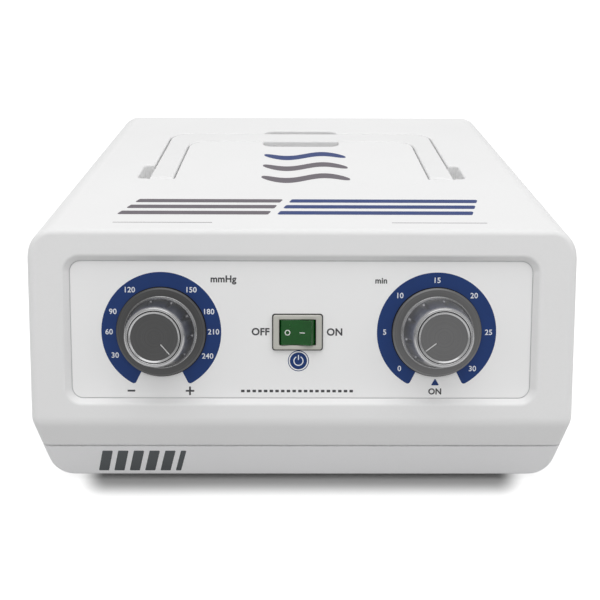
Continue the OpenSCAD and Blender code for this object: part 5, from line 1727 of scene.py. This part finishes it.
@dataclass
class Studio:
    """Pale floor, soft light from above and the camera."""

    sky: float = 0.50
    rise: float = 0.44
    floor_tone: float = 0.42
    floor_glow: float = 0.80
    footprint: tuple[float, float] = (0.088, 0.1112)
    shadow: tuple[float, float] = (0.003, 0.0165)
    lens: float = 45.633
    camera_at: tuple[float, float, float] = (-0.003421, -0.388843, 0.231649)
    camera_pitch: float = 63.286
    camera_turn: float = -0.442
    camera_roll: float = 0.309

    def build(self) -> None:
        """Builds the floor, the lamps, the world and the camera."""
        self.floor()
        self.lamps()
        self.world()
        self.camera()
        view = bpy.context.scene.view_settings
        view.view_transform = "Standard"

    def seen(self, tree: bpy.types.NodeTree) -> bpy.types.NodeSocket:
        """One where the eye, a mirror or clear plastic sees the surface, and nothing where it only gives light."""
        path = tree.nodes.new("ShaderNodeLightPath")
        first, second = (tree.nodes.new("ShaderNodeMath") for _ in range(2))
        first.operation = second.operation = "ADD"
        second.use_clamp = True
        tree.links.new(path.outputs["Is Camera Ray"], first.inputs[0])
        tree.links.new(path.outputs["Is Glossy Ray"], first.inputs[1])
        tree.links.new(first.outputs[0], second.inputs[0])
        tree.links.new(path.outputs["Is Transmission Ray"], second.inputs[1])
        return second.outputs[0]

    def floor(self) -> None:
        """A wide floor that is white to the eye and keeps the shadow.

        Its glow is nothing at the object's footprint and grows smoothly with the distance
        length(max(abs(p) - footprint, 0)). This paints a contact shadow round the footprint, so that the shadow shows
        only close to the object.
        """
        mesh = bpy.data.meshes.new("floor")
        reach = 6.0
        corners = [(-reach, -reach, 0), (reach, -reach, 0), (reach, reach, 0), (-reach, reach, 0)]
        mesh.from_pydata(corners, [], [[0, 1, 2, 3]])
        piece = bpy.data.objects.new("floor", mesh)
        bpy.context.scene.collection.objects.link(piece)
        b = Bench("floor_white")
        b.shader.inputs["Base Color"].default_value = (self.floor_tone,) * 3 + (1,)
        b.shader.inputs["Roughness"].default_value = 0.9
        b.shader.inputs["Specular IOR Level"].default_value = 0.0
        b.shader.inputs["Emission Color"].default_value = (1, 1, 1, 1)
        steps = [
            ("ABSOLUTE", None), ("SUBTRACT", (*self.footprint, 0.0)), ("MAXIMUM", (0.0, 0.0, 0.0)), ("LENGTH", None),
        ]
        value = b.where
        for operation, second in steps:
            node = b.add("ShaderNodeVectorMath", operation=operation)
            b.link(value, node.inputs[0])
            if second is not None:
                node.inputs[1].default_value = second
            value = node.outputs["Value"] if operation == "LENGTH" else node.outputs[0]
        # Painted shadow: the glow fades out towards the footprint, so the floor is darker round the object.
        ramp = b.add("ShaderNodeMapRange", interpolation_type="SMOOTHSTEP")
        for key, number in (("From Min", self.shadow[0]), ("From Max", self.shadow[1]), ("To Min", 0.0),
                            ("To Max", self.floor_glow)):
            ramp.inputs[key].default_value = number
        b.link(value, ramp.inputs["Value"])
        glow = b.add("ShaderNodeMath", operation="MULTIPLY")
        b.link(self.seen(b.tree), glow.inputs[0])
        b.link(ramp.outputs["Result"], glow.inputs[1])
        b.link(glow.outputs[0], b.shader.inputs["Emission Strength"])
        mesh.materials.append(b.material)

    def lamp(self, name: str, at: tuple[float, float, float], size: float, power: float) -> None:
        """A square soft lamp that faces the middle of the object."""
        data = bpy.data.lights.new(name, "AREA")
        data.shape = "SQUARE"
        data.size = size
        data.energy = power
        piece = bpy.data.objects.new(name, data)
        piece.location = at
        way = np.array([0, 0, 0.05]) - np.array(at)
        way = way / np.linalg.norm(way)
        flat = float(np.hypot(way[0], way[1]))
        aside = float(np.arctan2(-way[0], way[1])) if flat > 1e-6 else 0
        piece.rotation_euler = (float(np.arctan2(flat, -way[2])), 0, aside)
        bpy.context.scene.collection.objects.link(piece)

    def lamps(self) -> None:
        """A broad lamp overhead and two weaker ones at the sides."""
        self.lamp("overhead", (0.0, -0.25, 1.6), 1.4, 7)
        self.lamp("left_fill", (-1.5, -1.0, 0.9), 0.9, 0.3)
        self.lamp("right_fill", (1.5, -1.0, 1.1), 0.9, 1.8)

    def world(self) -> None:
        """A sky whose light is sky + rise * z, where z is how steeply the ray climbs, and which is white to the eye."""
        world = bpy.data.worlds.new("studio")
        bpy.context.scene.world = world
        world.use_nodes = True
        tree = world.node_tree
        back = tree.nodes["Background"]
        back.inputs["Color"].default_value = (1, 1, 1, 1)
        axes = tree.nodes.new("ShaderNodeSeparateXYZ")
        tree.links.new(tree.nodes.new("ShaderNodeTexCoord").outputs["Generated"], axes.inputs[0])
        ramp = tree.nodes.new("ShaderNodeMapRange")
        for key, number in (("From Min", -1.0), ("From Max", 1.0), ("To Min", self.sky - self.rise),
                            ("To Max", self.sky + self.rise)):
            ramp.inputs[key].default_value = number
        tree.links.new(axes.outputs["Z"], ramp.inputs["Value"])
        path = tree.nodes.new("ShaderNodeLightPath")
        both = tree.nodes.new("ShaderNodeMath")
        both.operation = "ADD"
        both.use_clamp = True
        tree.links.new(path.outputs["Is Camera Ray"], both.inputs[0])
        tree.links.new(path.outputs["Is Transmission Ray"], both.inputs[1])
        level = tree.nodes.new("ShaderNodeMix")
        level.data_type = "FLOAT"
        tree.links.new(both.outputs[0], level.inputs[0])
        tree.links.new(ramp.outputs["Result"], level.inputs[2])
        level.inputs[3].default_value = 1.0
        tree.links.new(level.outputs[0], back.inputs["Strength"])

    def camera(self) -> None:
        """The photograph's viewpoint: a little above the object, looking down at its front."""
        data = bpy.data.cameras.new("camera")
        data.lens = self.lens
        data.sensor_width = 36.0
        piece = bpy.data.objects.new("camera", data)
        turns = zip((self.camera_turn, self.camera_pitch, self.camera_roll), "ZXZ")
        turn, pitch, roll = (Matrix.Rotation(radians(angle), 4, axis) for angle, axis in turns)
        piece.matrix_world = Matrix.Translation(self.camera_at) @ turn @ pitch @ roll
        bpy.context.scene.collection.objects.link(piece)
        bpy.context.scene.camera = piece


def main() -> None:
    """Builds every part of the pump in order."""
    logging.basicConfig(level=logging.INFO, format="%(name)s: %(message)s")
    shop, case, grip = Shop(), Case(), Grip()
    CaseShell(shop, case, grip).build()
    CasePrint(shop, case).build()
    Handle(shop, case, grip).build()
    Panel(shop, case).build()
    Switch(shop, case, Press.OFF).build()
    Rear(shop, case).build()
    Underside(shop, case).build()
    Inside(shop).build()
    Studio().build()


if __name__ == "__main__":
    main()
